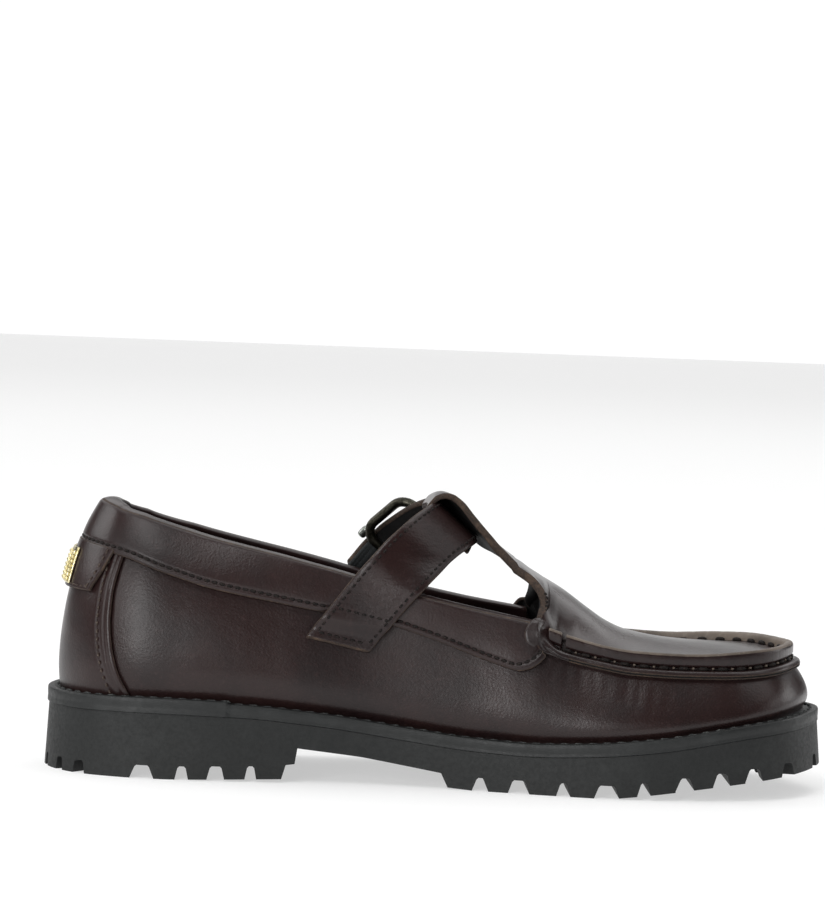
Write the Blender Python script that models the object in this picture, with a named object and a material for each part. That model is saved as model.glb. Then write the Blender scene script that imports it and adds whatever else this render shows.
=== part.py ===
"""T-bar loafer with a lugged rubber sole, the left shoe of a pair.

The toe points to +X, the medial side faces -Y and the origin is on the ground under the
middle of the shoe. The tables and sizes below are in millimetres, and each object is made
in metres.
"""
import math

import bmesh
import bpy
import numpy as np

MM = 0.001
MEDIAL, LATERAL = -1, 1

# Driving sizes
FIT_GAP = 0.3
LEATHER = 2.0
HEEL_TIP = (-134.3, -3.0)
TOE_TIP = (133.2, -6.0)
SOLE_FLARE_TOE = 2.1
SOLE_FLARE_HEEL = 0.7
BAND_HEIGHT = 4.4
LUG_DEPTH = 4.5
THROAT_X = {MEDIAL: 30.5, LATERAL: 31.0}
THROAT_BOW = 4.6
REAR_COLUMNS = 19
FRONT_COLUMNS = 13
WALL_ROWS = 7
WALL_SHARE = 0.72
SEAM_ROWS = 7
CENTRE_Y = -1.0
SWELL_PLACE = 0.2
INSOLE_THICK = 4.1
INSOLE_HOLLOW = 0.8

# Lip and raised seam of the moccasin front
LIP_OUT = 1.7
LIP_THICK = 2.6
RIDGE_WIDTH = 3.6
RIDGE_SINK = 3.6

# Strap: its width direction leans down and forward, as the instep does
STRAP_LEAN = math.radians(41.35)
STRAP_WIDTH = 20.0
STRAP_THICK = 2.2
SEWN_GAP = 0.5
ELASTIC_THICK = 1.6

# Collar band: it ends just short of the throat, with its lower corner reaching forward
COLLAR_GAP = 0.4
COLLAR_THICK = 2.2
COLLAR_END = 0.005
COLLAR_LOBE = 0.013
COLLAR_ROUND = 3.2
INSIDE_THICK = 1.4
INSIDE_DEPTHS = (0.0, 4.0, 9.0)

# Pieces at the back of the heel
COUNTER_GAP = 0.45
COUNTER_THICK = 1.0
COUNTER_EDGE = 0.4
TAB_THICK = 1.3
TAB_LOW = 61.2
BADGE_THICK = 1.0
BADGE_HEIGHTS = (64.0, 75.6)

# Strap: where it leaves its seat for the free arch, slant of its sewn ends and point of its tail
FREE_START = 1.0
FREE_EASE = 13.0
SEAT_START = 7.0
SEAT_EASE = 6.0
END_SLANT = 0.54
SLANT_START = 50.0
SLANT_LENGTH = 18.0
TAIL_POINT = 0.45
POINT_START = 46.0
POINT_LENGTH = 12.0
ELASTIC_INSET = 0.8
ELASTIC_START = 1.8

# Buckle: places along the strap's path and heights above its seat
BUCKLE_WIDTH = 25.6
FRAME_CORNER = 5.0
WIRE = 2.6
PRONG = 1.8
BAR_PLACE = 42.0
RIM_PLACE = 23.2
BAR_LIFT = 0.8
RIM_LIFT = 3.9
PRONG_SLOT = (31.6, 36.4, 41.0)
PRONG_FOOT = 1.2
PRONG_RISE = ((38.2, 2.8), (35.4, 4.6), (32.4, 5.6))
PRONG_REST = 27.6
PRONG_END = 1.8

# Rows of the strap and its elastic along its path
SEWN_STEPS = (74.6, 70, 66, 62, 58, 54, 50, 46, 42, 38, 33, 28, 23, 18, 14, 10, 6, 3)
TAIL_STEPS = (0, 3, 6, 10, 14, 18, 22, 26, *PRONG_SLOT, 42, 46, 50, 54, 58)
ELASTIC_STEPS = (BAR_PLACE + ELASTIC_START, 46, 50, 54, 58, 62, 66, 70)


class Table:
    """Rows of sizes under named columns, read smoothly between the rows by the first column."""

    def __init__(self, names, *rows):
        self.names = names.split()
        self.rows = np.array(rows, float)

    def read(self, name, key):
        keys = self.rows[:, 0]
        values = self.rows[:, self.names.index(name)]
        step = np.diff(keys)
        rise = np.diff(values) / step
        slope = np.empty_like(values)
        slope[0], slope[-1] = rise[0], rise[-1]
        product = rise[:-1] * rise[1:]
        total = rise[:-1] + rise[1:]
        slope[1:-1] = np.where(product > 0, 2 * product / np.where(product > 0, total, 1), 0)
        i = int(np.clip(np.searchsorted(keys, key) - 1, 0, len(step) - 1))
        u = min(max((key - keys[i]) / step[i], 0.0), 1.0)
        ease = u * u * (3 - 2 * u)
        swing = u * (1 - u) * step[i] * ((1 - u) * slope[i] - u * slope[i + 1])
        return values[i] + (values[i + 1] - values[i]) * ease + swing


# Outline of the sole at its top rim
OUTLINE = Table(
    "x medial lateral",
    (-131.0, -17.4, 11.4),
    (-122.0, -28.6, 22.6),
    (-108.0, -35.2, 29.4),
    (-88.0, -37.8, 32.2),
    (-55.0, -37.2, 34.2),
    (-22.0, -36.0, 38.0),
    (8.0, -39.6, 44.6),
    (35.0, -45.6, 49.6),
    (60.0, -50.2, 50.6),
    (84.0, -49.8, 46.8),
    (105.0, -45.8, 39.0),
    (120.0, -36.4, 26.6),
    (129.3, -22.0, 9.0),
)

# Height of the sole's top rim, from the heel over the waist to the toe spring
RIM = Table(
    "x top",
    (-135, 26.5),
    (-100, 26.9),
    (-70, 26.4),
    (-40, 24.0),
    (-12, 20.4),
    (12, 17.9),
    (30, 17.3),
    (50, 18.3),
    (75, 20.9),
    (105, 26.0),
    (135, 29.4),
)

# Rear wall: top line, how far it leans in at the top, how late it leans, how far it swells
REAR = Table(
    "x top_medial top_lateral lean_medial lean_lateral power swell",
    (-134, 91.4, 91.4, 12.6, 12.6, 2.6, 0.9),
    (-118, 89.0, 88.4, 12.4, 12.4, 2.7, 1.7),
    (-100, 85.7, 84.7, 11.8, 12.2, 2.9, 2.3),
    (-84, 81.7, 80.8, 11.0, 11.6, 2.8, 2.6),
    (-62, 77.1, 75.5, 7.8, 8.8, 2.5, 3.0),
    (-40, 72.2, 70.0, 5.0, 6.6, 2.2, 3.2),
    (-10, 64.5, 61.8, 2.2, 6.8, 2.0, 3.2),
    (12, 59.8, 57.4, 3.8, 9.0, 2.0, 2.8),
    (34, 55.8, 54.0, 6.6, 12.0, 2.0, 2.2),
)

# Front wall: height and lean at the lip, top of the raised seam
FRONT = Table(
    "x lip lean_medial lean_lateral seam swell",
    (30, 50.0, 5.6, 10.6, 57.6, 2.0),
    (36, 46.9, 6.0, 10.6, 55.4, 1.9),
    (42, 44.9, 6.2, 10.2, 53.5, 1.8),
    (52, 43.0, 6.6, 9.6, 51.2, 1.7),
    (65, 41.3, 7.0, 9.0, 49.6, 1.6),
    (85, 40.7, 6.6, 8.0, 49.0, 1.5),
    (105, 41.0, 5.0, 6.0, 50.1, 1.3),
    (120, 42.0, 3.8, 4.4, 51.1, 1.2),
    (133, 43.2, 3.4, 3.4, 51.6, 1.0),
)

# Apron: height of its middle line from the throat to the toe
APRON = Table(
    "x middle",
    (36, 70.0),
    (43, 66.2),
    (52, 59.9),
    (59, 55.4),
    (66, 52.6),
    (80, 50.2),
    (100, 49.0),
    (122, 48.0),
)

# T-bar, from the throat over its fold to the end under the strap; along and up are measured
# down the instep and square to it
TBAR = Table(
    "row along up half_width drop thick",
    (1, -25.3, 75.3, 21.0, 1.2, 2.7),
    (2, -31.3, 74.6, 16.4, 0.5, 2.7),
    (3, -38.0, 74.1, 13.2, 0.3, 2.9),
    (4, -40.8, 74.1, 12.2, 0.4, 2.8),
    (5, -43.4, 74.2, 11.8, 0.4, 2.5),
    (6, -52.6, 75.2, 10.4, 0.4, 2.4),
    (7, -58.4, 76.0, 10.0, 0.5, 2.3),
    (8, -62.3, 76.1, 10.0, 0.6, 2.2),
    (9, -66.6, 74.8, 10.0, 0.8, 2.0),
    (10, -68.8, 71.2, 10.0, 1.1, 1.8),
    (11, -68.2, 67.6, 10.0, 1.5, 1.5),
    (12, -64.4, 66.2, 9.8, 1.8, 1.4),
    (13, -56.0, 66.2, 9.6, 1.9, 1.3),
    (14, -48.0, 66.3, 9.4, 1.9, 1.3),
    (15, -45.6, 66.3, 9.2, 1.9, 1.3),
)

# Lower edge of the collar band
COLLAR = Table(
    "x low",
    (-134, 77.6),
    (-115, 75.4),
    (-95, 69.9),
    (-81, 66.0),
    (-56, 61.5),
    (-42, 59.1),
    (-18, 55.3),
    (-9, 52.8),
    (8, 47.1),
    (16, 44.0),
    (22, 41.9),
    (26, 41.2),
    (29, 41.9),
    (31, 44.2),
)

# Front edges of the pieces at the back, on the sole's outline, by height
BACK_EDGES = Table(
    "z counter tab badge",
    (28, -107.0, -124.0, -131.0),
    (37, -111.2, -124.0, -131.0),
    (46, -113.6, -124.0, -131.0),
    (55, -114.8, -124.0, -131.0),
    (62, -114.9, -123.0, -131.0),
    (68, -114.2, -119.5, -131.0),
    (76, -112.6, -114.5, -131.0),
)

# Path of the strap from its middle, under the T-bar, to its ends, by length
STRAP = Table(
    "s up side along",
    (0, 68.3, 0.0, -55.4),
    (6, 68.2, 6.0, -55.6),
    (11, 67.3, 10.9, -56.2),
    (16, 64.9, 15.3, -57.2),
    (22, 60.9, 19.8, -58.5),
    (30, 54.5, 24.9, -59.6),
    (38, 47.2, 28.2, -60.3),
    (46, 39.6, 30.8, -60.5),
    (80, 6.0, 38.0, -60.5),
)

# Seat of the strap's free end over the buckle's bar and over the elastic
TAIL = Table(
    "s lift",
    (0, 0.0),
    (24, 0.0),
    (32, 0.9),
    (41, 3.3),
    (46, 2.9),
    (52, 2.2),
    (80, 2.2),
)

# Gaps between the lugs: place along the sole, width at the ground and at their roof, and how
# far they reach in from the rim (0 where they run right across)
LUG_GAPS = Table(
    "x foot roof reach",
    (-133.4, 3.2, 2.4, 14.0),
    (-129.0, 3.8, 3.0, 16.0),
    (-122.5, 5.0, 3.8, 18.0),
    (-101.0, 8.2, 5.0, 0.0),
    (-87.4, 4.6, 2.8, 0.0),
    (-75.8, 6.0, 4.0, 0.0),
    (-63.9, 4.0, 2.4, 0.0),
    (14.4, 5.6, 2.6, 0.0),
    (27.4, 7.2, 4.5, 0.0),
    (42.4, 4.8, 2.4, 0.0),
    (57.0, 8.6, 5.6, 0.0),
    (69.6, 4.6, 2.4, 0.0),
    (83.6, 6.6, 3.4, 0.0),
    (96.2, 6.0, 3.6, 0.0),
    (107.6, 6.4, 3.8, 0.0),
    (119.6, 6.4, 4.2, 22.0),
    (130.2, 5.4, 3.6, 16.0),
)

# Channels along the sole that part the lugs of the rim from those of the middle
CHANNELS = Table(
    "y start end",
    (-13.5, -118.0, -50.0),
    (7.5, -118.0, -50.0),
    (-17.0, 0.0, 114.0),
    (14.0, 0.0, 114.0),
)
CHANNEL_WIDTH = 4.0

CUT_BELOW = -4.0

# Under edge of the sole from the heel breast over the arch, and from the tread to the toe
ARCH = (
    (-92.0, CUT_BELOW),
    (-92.0, 0.0),
    (-53.4, 1.3),
    (-52.0, 6.2),
    (-49.0, 6.6),
    (-48.2, 12.0),
    (-26.0, 9.6),
    (-12.0, 7.4),
    (1.0, 5.4),
    (3.4, 0.6),
    (12.0, 0.0),
    (12.0, CUT_BELOW),
)
TOE_SPRING = (
    (58.0, 0.0),
    (67.0, 1.1),
    (76.0, 2.3),
    (89.0, 4.2),
    (101.0, 5.9),
    (113.0, 7.4),
    (125.0, 8.9),
    (140.0, 10.4),
)

# Finish of each piece: linear colour, roughness, metallic
FINISHES = (
    ("outsole_rubber", 0.022, 0.023, 0.023, 0.60, 0.0),
    ("welt_rubber", 0.024, 0.025, 0.025, 0.55, 0.0),
    ("insole_leather", 0.045, 0.028, 0.020, 0.70, 0.0),
    ("upper_leather", 0.035, 0.017, 0.016, 0.38, 0.0),
    ("collar_leather", 0.036, 0.018, 0.017, 0.40, 0.0),
    ("counter_leather", 0.034, 0.017, 0.016, 0.38, 0.0),
    ("tab_leather", 0.032, 0.016, 0.015, 0.42, 0.0),
    ("badge_brass", 0.750, 0.660, 0.420, 0.30, 1.0),
    ("strap_leather", 0.036, 0.017, 0.016, 0.38, 0.0),
    ("strap_elastic", 0.012, 0.013, 0.013, 0.80, 0.0),
    ("frame_nickel", 0.160, 0.155, 0.140, 0.35, 1.0),
    ("prong_nickel", 0.280, 0.285, 0.270, 0.35, 1.0),
)


def smooth_step(value):
    """Ease from 0 to 1."""
    value = min(max(value, 0.0), 1.0)
    return value * value * (3 - 2 * value)


class Outline:
    """The sole's outline, with each side read from the heel tip (0) to the toe tip (1)."""

    SPAN_STEPS = 24

    def __init__(self):
        medial = [(x, m) for x, m, _ in OUTLINE.rows]
        lateral = [(x, y) for x, _, y in OUTLINE.rows[::-1]]
        points = np.array([HEEL_TIP, *medial, TOE_TIP, *lateral])
        curve = self.spline(points)
        half = (len(medial) + 1) * self.SPAN_STEPS
        loop = np.vstack([curve, curve[:1]])
        self.sides = {MEDIAL: loop[:half + 1], LATERAL: loop[half:][::-1]}
        self.lengths = {}
        self.normals = {}
        for side, line in self.sides.items():
            run = np.hypot(*np.diff(line, axis=0).T)
            self.lengths[side] = np.concatenate([[0], np.cumsum(run)]) / run.sum()
            along = np.gradient(line, axis=0)
            along[0], along[-1] = (0, side), (0, -side)
            along /= np.linalg.norm(along, axis=1)[:, None]
            self.normals[side] = side * np.stack([-along[:, 1], along[:, 0]], 1)

    def spline(self, points):
        """A closed curve through the points, with chord-length tangents."""
        before, after = np.roll(points, 1, 0), np.roll(points, -1, 0)
        chord = np.linalg.norm(after - points, axis=1)[:, None]
        last = np.roll(chord, 1, 0)
        tangent = (points - before) / last * chord + (after - points) / chord * last
        tangent /= chord + last
        curve = []
        for i, (start, end) in enumerate(zip(points, after)):
            for u in np.arange(self.SPAN_STEPS) / self.SPAN_STEPS:
                ease = u * u * (3 - 2 * u)
                swing = (1 - u) * tangent[i] - u * tangent[(i + 1) % len(points)]
                curve.append(start + (end - start) * ease + u * (1 - u) * chord[i] * swing)
        return np.array(curve)

    def at(self, side, t, out=0.0):
        """A point of the outline and its outward normal, moved outward by out."""
        places = self.lengths[side]
        point = np.array([np.interp(t, places, self.sides[side][:, i]) for i in (0, 1)])
        normal = np.array([np.interp(t, places, self.normals[side][:, i]) for i in (0, 1)])
        normal /= np.linalg.norm(normal)
        return point + normal * out, normal

    def place_of(self, side, x):
        """The place t on a side whose point lies at x."""
        line = self.sides[side]
        return float(np.interp(x, line[:, 0], self.lengths[side]))


OUT = Outline()


def side_name(name, side):
    """Column name of a table for one side of the shoe."""
    return name + ("_medial" if side == MEDIAL else "_lateral")


def columns(side):
    """Places of the upper's columns, with one at the throat corner."""
    throat = OUT.place_of(side, THROAT_X[side])
    rear = np.linspace(0, throat, REAR_COLUMNS + 1)
    front = np.linspace(throat, 1, FRONT_COLUMNS + 1)
    return np.concatenate([rear, front[1:]])


def welt_width(x):
    """Width of the rim's top that shows outside the upper, widest at the toe."""
    return 4.0 + 1.4 * smooth_step((x - 105) / 28) + 1.3 * smooth_step((-x - 110) / 22)


def feather(x):
    """Height of the upper's lower edge."""
    return RIM.read("top", x) + FIT_GAP


def swell(v):
    """Sideways swelling of the wall, greatest low down."""
    q = v / SWELL_PLACE
    return q * math.exp(1 - q)


def wall(side, t, v, out=0.0, front=False):
    """A point of the wall, from the feather edge (v = 0) to the top line or the lip (v = 1)."""
    point, normal = OUT.at(side, t)
    x = point[0]
    table = FRONT if front else REAR
    top = table.read("lip", x) if front else table.read(side_name("top", side), x)
    lean = table.read(side_name("lean", side), x)
    power = 2.0 if front else table.read("power", x)
    inset = welt_width(x) + lean * max(v, 0) ** power - table.read("swell", x) * swell(v)
    low = feather(x)
    plan = point + normal * (out - inset)
    return np.array([plan[0], plan[1], low + (top - low) * v])


def on_wall(side, x, z, out):
    """The wall's y at a place seen from the side, for the rear wall between heel and throat."""
    low, high = 0.05, 0.75
    for _ in range(26):
        t = (low + high) / 2
        base = OUT.at(side, t)[0][0]
        foot = feather(base)
        v = (z - foot) / (REAR.read(side_name("top", side), base) - foot)
        point = wall(side, t, v, out)
        if point[0] < x:
            low = t
        else:
            high = t
    return point[1]


class Shell:
    """Two matching layers of points, closed along their borders into one solid."""

    def __init__(self):
        self.outer = []
        self.inner = []
        self.faces = []

    def point(self, outer, inner=None):
        """Add a point; inner is its partner, or the thickness of the piece there."""
        self.outer.append(np.array(outer, float))
        self.inner.append(LEATHER if inner is None else inner)
        return len(self.outer) - 1

    def face(self, *corners):
        corners = [c for i, c in enumerate(corners) if c != corners[i - 1]]
        if len(corners) > 2:
            self.faces.append(corners)

    def strip(self, first, second):
        for i in range(len(first) - 1):
            self.face(first[i], second[i], second[i + 1], first[i + 1])

    def fill_inner(self):
        """Set the inner layer where only a thickness is given, square to the outer one."""
        normals = np.zeros((len(self.outer), 3))
        for corners in self.faces:
            ring = np.array([self.outer[c] for c in corners])
            area = np.cross(ring, np.roll(ring, -1, 0)).sum(0)
            for c in corners:
                normals[c] += area
        for i, inner in enumerate(self.inner):
            if np.isscalar(inner):
                normal = normals[i] / np.linalg.norm(normals[i])
                self.inner[i] = self.outer[i] - normal * inner

    def build(self, name, material):
        count = len(self.outer)
        edges = {(a, b) for corners in self.faces for a, b in zip(corners, corners[1:] + corners[:1])}
        rims = sorted((a, b) for a, b in edges if (b, a) not in edges)
        faces = list(self.faces)
        faces += [[c + count for c in reversed(corners)] for corners in self.faces]
        faces += [[b, a, a + count, b + count] for a, b in rims]
        return solid(name, material, self.outer + self.inner, faces)


def solid(name, material, points, faces):
    """A closed mesh object from points in millimetres."""
    mesh = bpy.data.meshes.new(name)
    mesh.from_pydata([tuple(float(c) * MM for c in p) for p in points], [], faces)
    work = bmesh.new()
    work.from_mesh(mesh)
    bmesh.ops.recalc_face_normals(work, faces=work.faces)
    work.to_mesh(mesh)
    work.free()
    thing = bpy.data.objects.new(name, mesh)
    bpy.context.collection.objects.link(thing)
    mesh.materials.append(material)
    return thing


def material(name, colour, roughness, metallic=0.0):
    """A plain Principled material from a linear colour."""
    made = bpy.data.materials.new(name)
    made.use_nodes = True
    shader = made.node_tree.nodes["Principled BSDF"]
    shader.inputs["Base Color"].default_value = (*colour, 1)
    shader.inputs["Roughness"].default_value = roughness
    shader.inputs["Metallic"].default_value = metallic
    made.diffuse_color = (*colour, 1)
    return made


def leaf(inset, top, bottom, cells, places=columns):
    """A plate inside the outline, from the heel tip to the toe tip, as a shell."""
    shell = Shell()
    medial, lateral = places(MEDIAL), places(LATERAL)
    rows = []
    for k, (tm, tl) in enumerate(zip(medial, lateral)):
        edge_m = OUT.at(MEDIAL, tm)[0]
        edge_l = OUT.at(LATERAL, tl)[0]
        a = OUT.at(MEDIAL, tm, -inset(edge_m[0]))[0]
        b = OUT.at(LATERAL, tl, -inset(edge_l[0]))[0]
        if k in (0, len(medial) - 1):
            rows.append([shell.point((*a, top(a[0], 0)), (*a, bottom(a[0])))] * (cells + 1))
            continue
        row = []
        for j in range(cells + 1):
            w = j / cells
            x, y = a + (b - a) * w
            row.append(shell.point((x, y, top(x, 4 * w * (1 - w))), (x, y, bottom(x))))
        rows.append(row)
    for first, second in zip(rows, rows[1:]):
        shell.strip(first, second)
    return shell


def prism(name, outline, axis_start, axis_end, place):
    """A closed bar between two copies of an outline; place turns (a, b, along) into a point."""
    points = [place(a, b, axis_start) for a, b in outline]
    points += [place(a, b, axis_end) for a, b in outline]
    n = len(outline)
    faces = [list(range(n)), list(range(2 * n - 1, n - 1, -1))]
    faces += [[i, (i + 1) % n, n + (i + 1) % n, n + i] for i in range(n)]
    return solid(name, None, points, faces)


def cut_away(target, cutters):
    """Take the cutters out of the target and remove them."""
    for cutter in cutters:
        cutter.hide_render = True
        cutter.display_type = "WIRE"
        cut = target.modifiers.new(cutter.name, "BOOLEAN")
        cut.operation = "DIFFERENCE"
        cut.solver = "EXACT"
        cut.object = cutter
    graph = bpy.context.evaluated_depsgraph_get()
    mesh = bpy.data.meshes.new_from_object(target.evaluated_get(graph))
    target.modifiers.clear()
    target.data = mesh
    for cutter in cutters:
        bpy.data.objects.remove(cutter)


def ground_line(x):
    """Height of the tread's under side, over the heel's rise and the toe spring."""
    xs, zs = zip(ARCH[1], ARCH[2], (-53.0, 0.0), *TOE_SPRING)
    return float(np.interp(x, xs, zs))


def flare(x):
    """How far the sole's foot stands out beyond its rim, at the toe and at the heel."""
    toe = SOLE_FLARE_TOE * smooth_step((x - 95) / 38)
    return toe + SOLE_FLARE_HEEL * smooth_step((-x - 110) / 24)


def build_outsole(rubber):
    """Rubber sole: block under the outline, cut to its side profile, then its lug gaps."""
    top = lambda x, middle: RIM.read("top", x) - BAND_HEIGHT - FIT_GAP
    shell = leaf(lambda x: 0.0, top, lambda x: 0.0, 2)
    for side in (MEDIAL, LATERAL):
        for t in columns(side):
            point = OUT.at(side, t)[0]
            spread = OUT.at(side, t, flare(point[0]))[0]
            for i, foot in enumerate(shell.inner):
                if np.allclose(foot[:2], point, atol=1e-6):
                    shell.inner[i] = np.array([*spread, 0.0])
    sole = shell.build("outsole", rubber)
    across = lambda x, z, y: (x, y, z)
    reach = 80.0
    spring = list(TOE_SPRING) + [(TOE_SPRING[-1][0], CUT_BELOW), (TOE_SPRING[0][0], CUT_BELOW)]
    cut_away(sole, [prism("arch_cut", ARCH, -reach, reach, across)])
    cut_away(sole, [prism("toe_cut", spring, -reach, reach, across)])
    cut_away(sole, gap_cutters())
    cut_away(sole, channel_cutters())
    return sole


def gap_cutters():
    """Wedges that part the lugs, radial at the ends of the sole and right across between."""
    cutters = []
    for x, foot, roof, reach in LUG_GAPS.rows:
        base = ground_line(x)
        section = [(-foot / 2, CUT_BELOW), (foot / 2, CUT_BELOW), (foot / 2, 0.0),
                   (roof / 2, LUG_DEPTH), (-roof / 2, LUG_DEPTH), (-foot / 2, 0.0)]
        ends = {side: OUT.at(side, OUT.place_of(side, x)) for side in (MEDIAL, LATERAL)}
        if reach:
            for side, (point, normal) in ends.items():
                along = np.array([-normal[1], normal[0]])
                place = lambda a, b, run: (*(point + along * a + normal * run), base + b)
                cutters.append(prism(f"gap_{side}_{x:.0f}", section, -reach, 6.0, place))
        else:
            place = lambda a, b, y: (x + a, y, base + b)
            cutters.append(prism(f"gap_{x:.0f}", section, -80.0, 80.0, place))
    return cutters


def channel_cutters():
    """Long channels under the heel and the forefoot, at the depth of the lug gaps."""
    cutters = []
    for y, start, end in CHANNELS.rows:
        bends = [x for x, _ in (ARCH[1], *TOE_SPRING) if start < x < end]
        roof = [(x, ground_line(x) + LUG_DEPTH) for x in (start, *bends, end)]
        section = [(start, CUT_BELOW), *roof, (end, CUT_BELOW)]
        place = lambda x, z, side: (x, y + side, z)
        half = CHANNEL_WIDTH / 2
        cutters.append(prism(f"channel_{y:.0f}_{start:.0f}", section, -half, half, place))
    return cutters


def build_welt(rubber):
    """Stitched rubber rim on top of the sole."""
    top = lambda x, middle: RIM.read("top", x)
    low = lambda x: RIM.read("top", x) - BAND_HEIGHT
    return leaf(lambda x: 0.0, top, low, 1).build("welt", rubber)


def build_insole(lining):
    """Covered footbed inside the upper, slightly hollow across."""
    inset = lambda x: welt_width(x) + LEATHER + 2 * FIT_GAP
    low = lambda x: RIM.read("top", x) + FIT_GAP
    top = lambda x, middle: low(x) + INSOLE_THICK - INSOLE_HOLLOW * middle
    return leaf(inset, top, low, 4).build("insole", lining)


def rear_rows():
    """Wall heights of the rear rows; one of them runs into the lip at the throat."""
    low = [WALL_SHARE * r / WALL_ROWS for r in range(WALL_ROWS + 1)]
    return low + [WALL_SHARE + (1 - WALL_SHARE) * r / SEAM_ROWS for r in range(1, SEAM_ROWS + 1)]


def seam_profile(side, t):
    """Lip and raised seam above the front wall, from the outside in."""
    point, normal = OUT.at(side, t)
    lip = FRONT.read("lip", point[0])
    seam = FRONT.read("seam", point[0])
    edge = wall(side, t, 1.0, front=True)[:2]
    steps = ((LIP_OUT, lip), (LIP_OUT, lip + LIP_THICK), (-0.9, lip + LIP_THICK + 0.5),
             (-1.5, seam - 0.9), (-0.9 - RIDGE_WIDTH / 2, seam), (-0.3 - RIDGE_WIDTH, seam - 0.9),
             (-0.9 - RIDGE_WIDTH, seam - RIDGE_SINK))
    return [np.array([*(edge + normal * out), z]) for out, z in steps]


def tbar_point(row, share):
    """A point of the T-bar; share runs from -1 on the medial edge to 1 on the lateral edge."""
    along = TBAR.read("along", row)
    up = TBAR.read("up", row) - TBAR.read("drop", row) * share * share
    x, z = instep(along, up)
    return np.array([x, CENTRE_Y + share * TBAR.read("half_width", row), z])


def instep(along, up):
    """Turn sizes along the slope of the instep and square to it into x and z."""
    c, s = math.cos(STRAP_LEAN), math.sin(STRAP_LEAN)
    return c * along + s * up, -s * along + c * up


def apron_row(start, end, cells):
    """A row across the apron, crowned to its middle height."""
    middle = (start + end) / 2
    rise = APRON.read("middle", middle[0]) - middle[2]
    points = []
    for j in range(1, cells):
        w = j / cells
        point = start + (end - start) * w
        point[2] += rise * (1 - (2 * w - 1) ** 2) ** 0.9
        points.append(point)
    return points


def build_upper(leather):
    """One hollow shell: wall, lip, raised seam, apron and the T-bar with its loop."""
    shell = Shell()
    last = REAR_COLUMNS + FRONT_COLUMNS
    grid = {}
    for side in (MEDIAL, LATERAL):
        for k, t in enumerate(columns(side)):
            if side == LATERAL and k in (0, last):
                grid[side, k] = grid[MEDIAL, k]
                continue
            if k <= REAR_COLUMNS:
                outer = [wall(side, t, v) for v in rear_rows()]
                inner = [wall(side, t, v, -LEATHER) for v in rear_rows()]
            else:
                rows = [r / WALL_ROWS for r in range(WALL_ROWS + 1)]
                outer = [wall(side, t, v, front=True) for v in rows] + seam_profile(side, t)
                inner = [wall(side, t, v, -LEATHER, front=True) for v in rows]
                normal = OUT.at(side, t)[1]
                end = outer[-1] - np.array([*(normal * 0.6), LEATHER])
                start = inner[-1]
                inner += [start + (end - start) * (r / SEAM_ROWS) for r in range(1, SEAM_ROWS + 1)]
            grid[side, k] = [shell.point(o, i) for o, i in zip(outer, inner)]
    for side in (MEDIAL, LATERAL):
        for k in range(last):
            pair = (grid[side, k], grid[side, k + 1])
            shell.strip(*(pair if side == MEDIAL else pair[::-1]))
    add_apron(shell, grid, last)
    shell.fill_inner()
    return shell.build("upper", leather)


def add_apron(shell, grid, last):
    """Apron between the raised seams, and the T-bar behind it."""
    cells = 10
    rows = []
    for k in range(REAR_COLUMNS, last):
        a, b = grid[MEDIAL, k][-1], grid[LATERAL, k][-1]
        start, end = shell.outer[a], shell.outer[b]
        middle = [shell.point(p) for p in apron_row(start, end, cells)]
        rows.append([a, *middle, b])
    rows.append([grid[MEDIAL, last][-1]] * (cells + 1))
    throat = rows[0]
    for j, index in enumerate(throat[1:-1], 1):
        w = j / cells
        shell.outer[index][0] += THROAT_BOW * (1 - (2 * w - 1) ** 4)
    for first, second in zip(rows, rows[1:]):
        shell.strip(first, second)
    margin = 1
    bar = throat[margin:-margin]
    count = len(bar)
    for row in range(1, len(TBAR.rows) + 1):
        shares = [-1 + 2 * j / (count - 1) for j in range(count)]
        thick = TBAR.read("thick", row)
        new = [shell.point(tbar_point(row, share), thick) for share in shares]
        shell.strip(new, bar)
        bar = new


def build_collar_band(leather):
    """Folded band over the collar: outside leg, top fold and a short inside leg."""
    shell = Shell()
    rows = {}
    gap = COLLAR_GAP
    for side in (MEDIAL, LATERAL):
        for k, t in enumerate(columns(side)[:REAR_COLUMNS + 1]):
            if side == LATERAL and k == 0:
                rows[side, k] = rows[MEDIAL, k]
                continue
            end = k == REAR_COLUMNS
            t -= COLLAR_END * end
            x = OUT.at(side, t)[0][0]
            foot, top = feather(x), REAR.read(side_name("top", side), x)
            low = COLLAR.read("low", x) + COLLAR_ROUND * end
            start = (low - foot) / (top - foot)
            fold = COLLAR_THICK / (top - foot)
            levels = [(t + COLLAR_LOBE * end * (1 - i / 4) ** 2, start + (1 - start) * i / 4)
                      for i in range(5)]
            outer = [wall(side, place, v, gap + COLLAR_THICK) for place, v in levels]
            inner = [wall(side, place, v, gap) for place, v in levels]
            mid_out, mid_in = 0.35 * COLLAR_THICK, -LEATHER - 0.35 * COLLAR_THICK
            outer += [wall(side, t, 1 + fold, mid_out), wall(side, t, 1 + fold, mid_in)]
            inner += [wall(side, t, 1 + gap / (top - foot), gap),
                      wall(side, t, 1 + gap / (top - foot), -LEATHER - gap)]
            for depth in INSIDE_DEPTHS:
                v = 1 - depth / (top - foot)
                outer.append(wall(side, t, v, -LEATHER - gap - INSIDE_THICK))
                inner.append(wall(side, t, v, -LEATHER - gap))
            rows[side, k] = [shell.point(o, i) for o, i in zip(outer, inner)]
    for side in (MEDIAL, LATERAL):
        for k in range(REAR_COLUMNS):
            pair = (rows[side, k], rows[side, k + 1])
            shell.strip(*(pair if side == MEDIAL else pair[::-1]))
    return shell.build("collar_band", leather)


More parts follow.
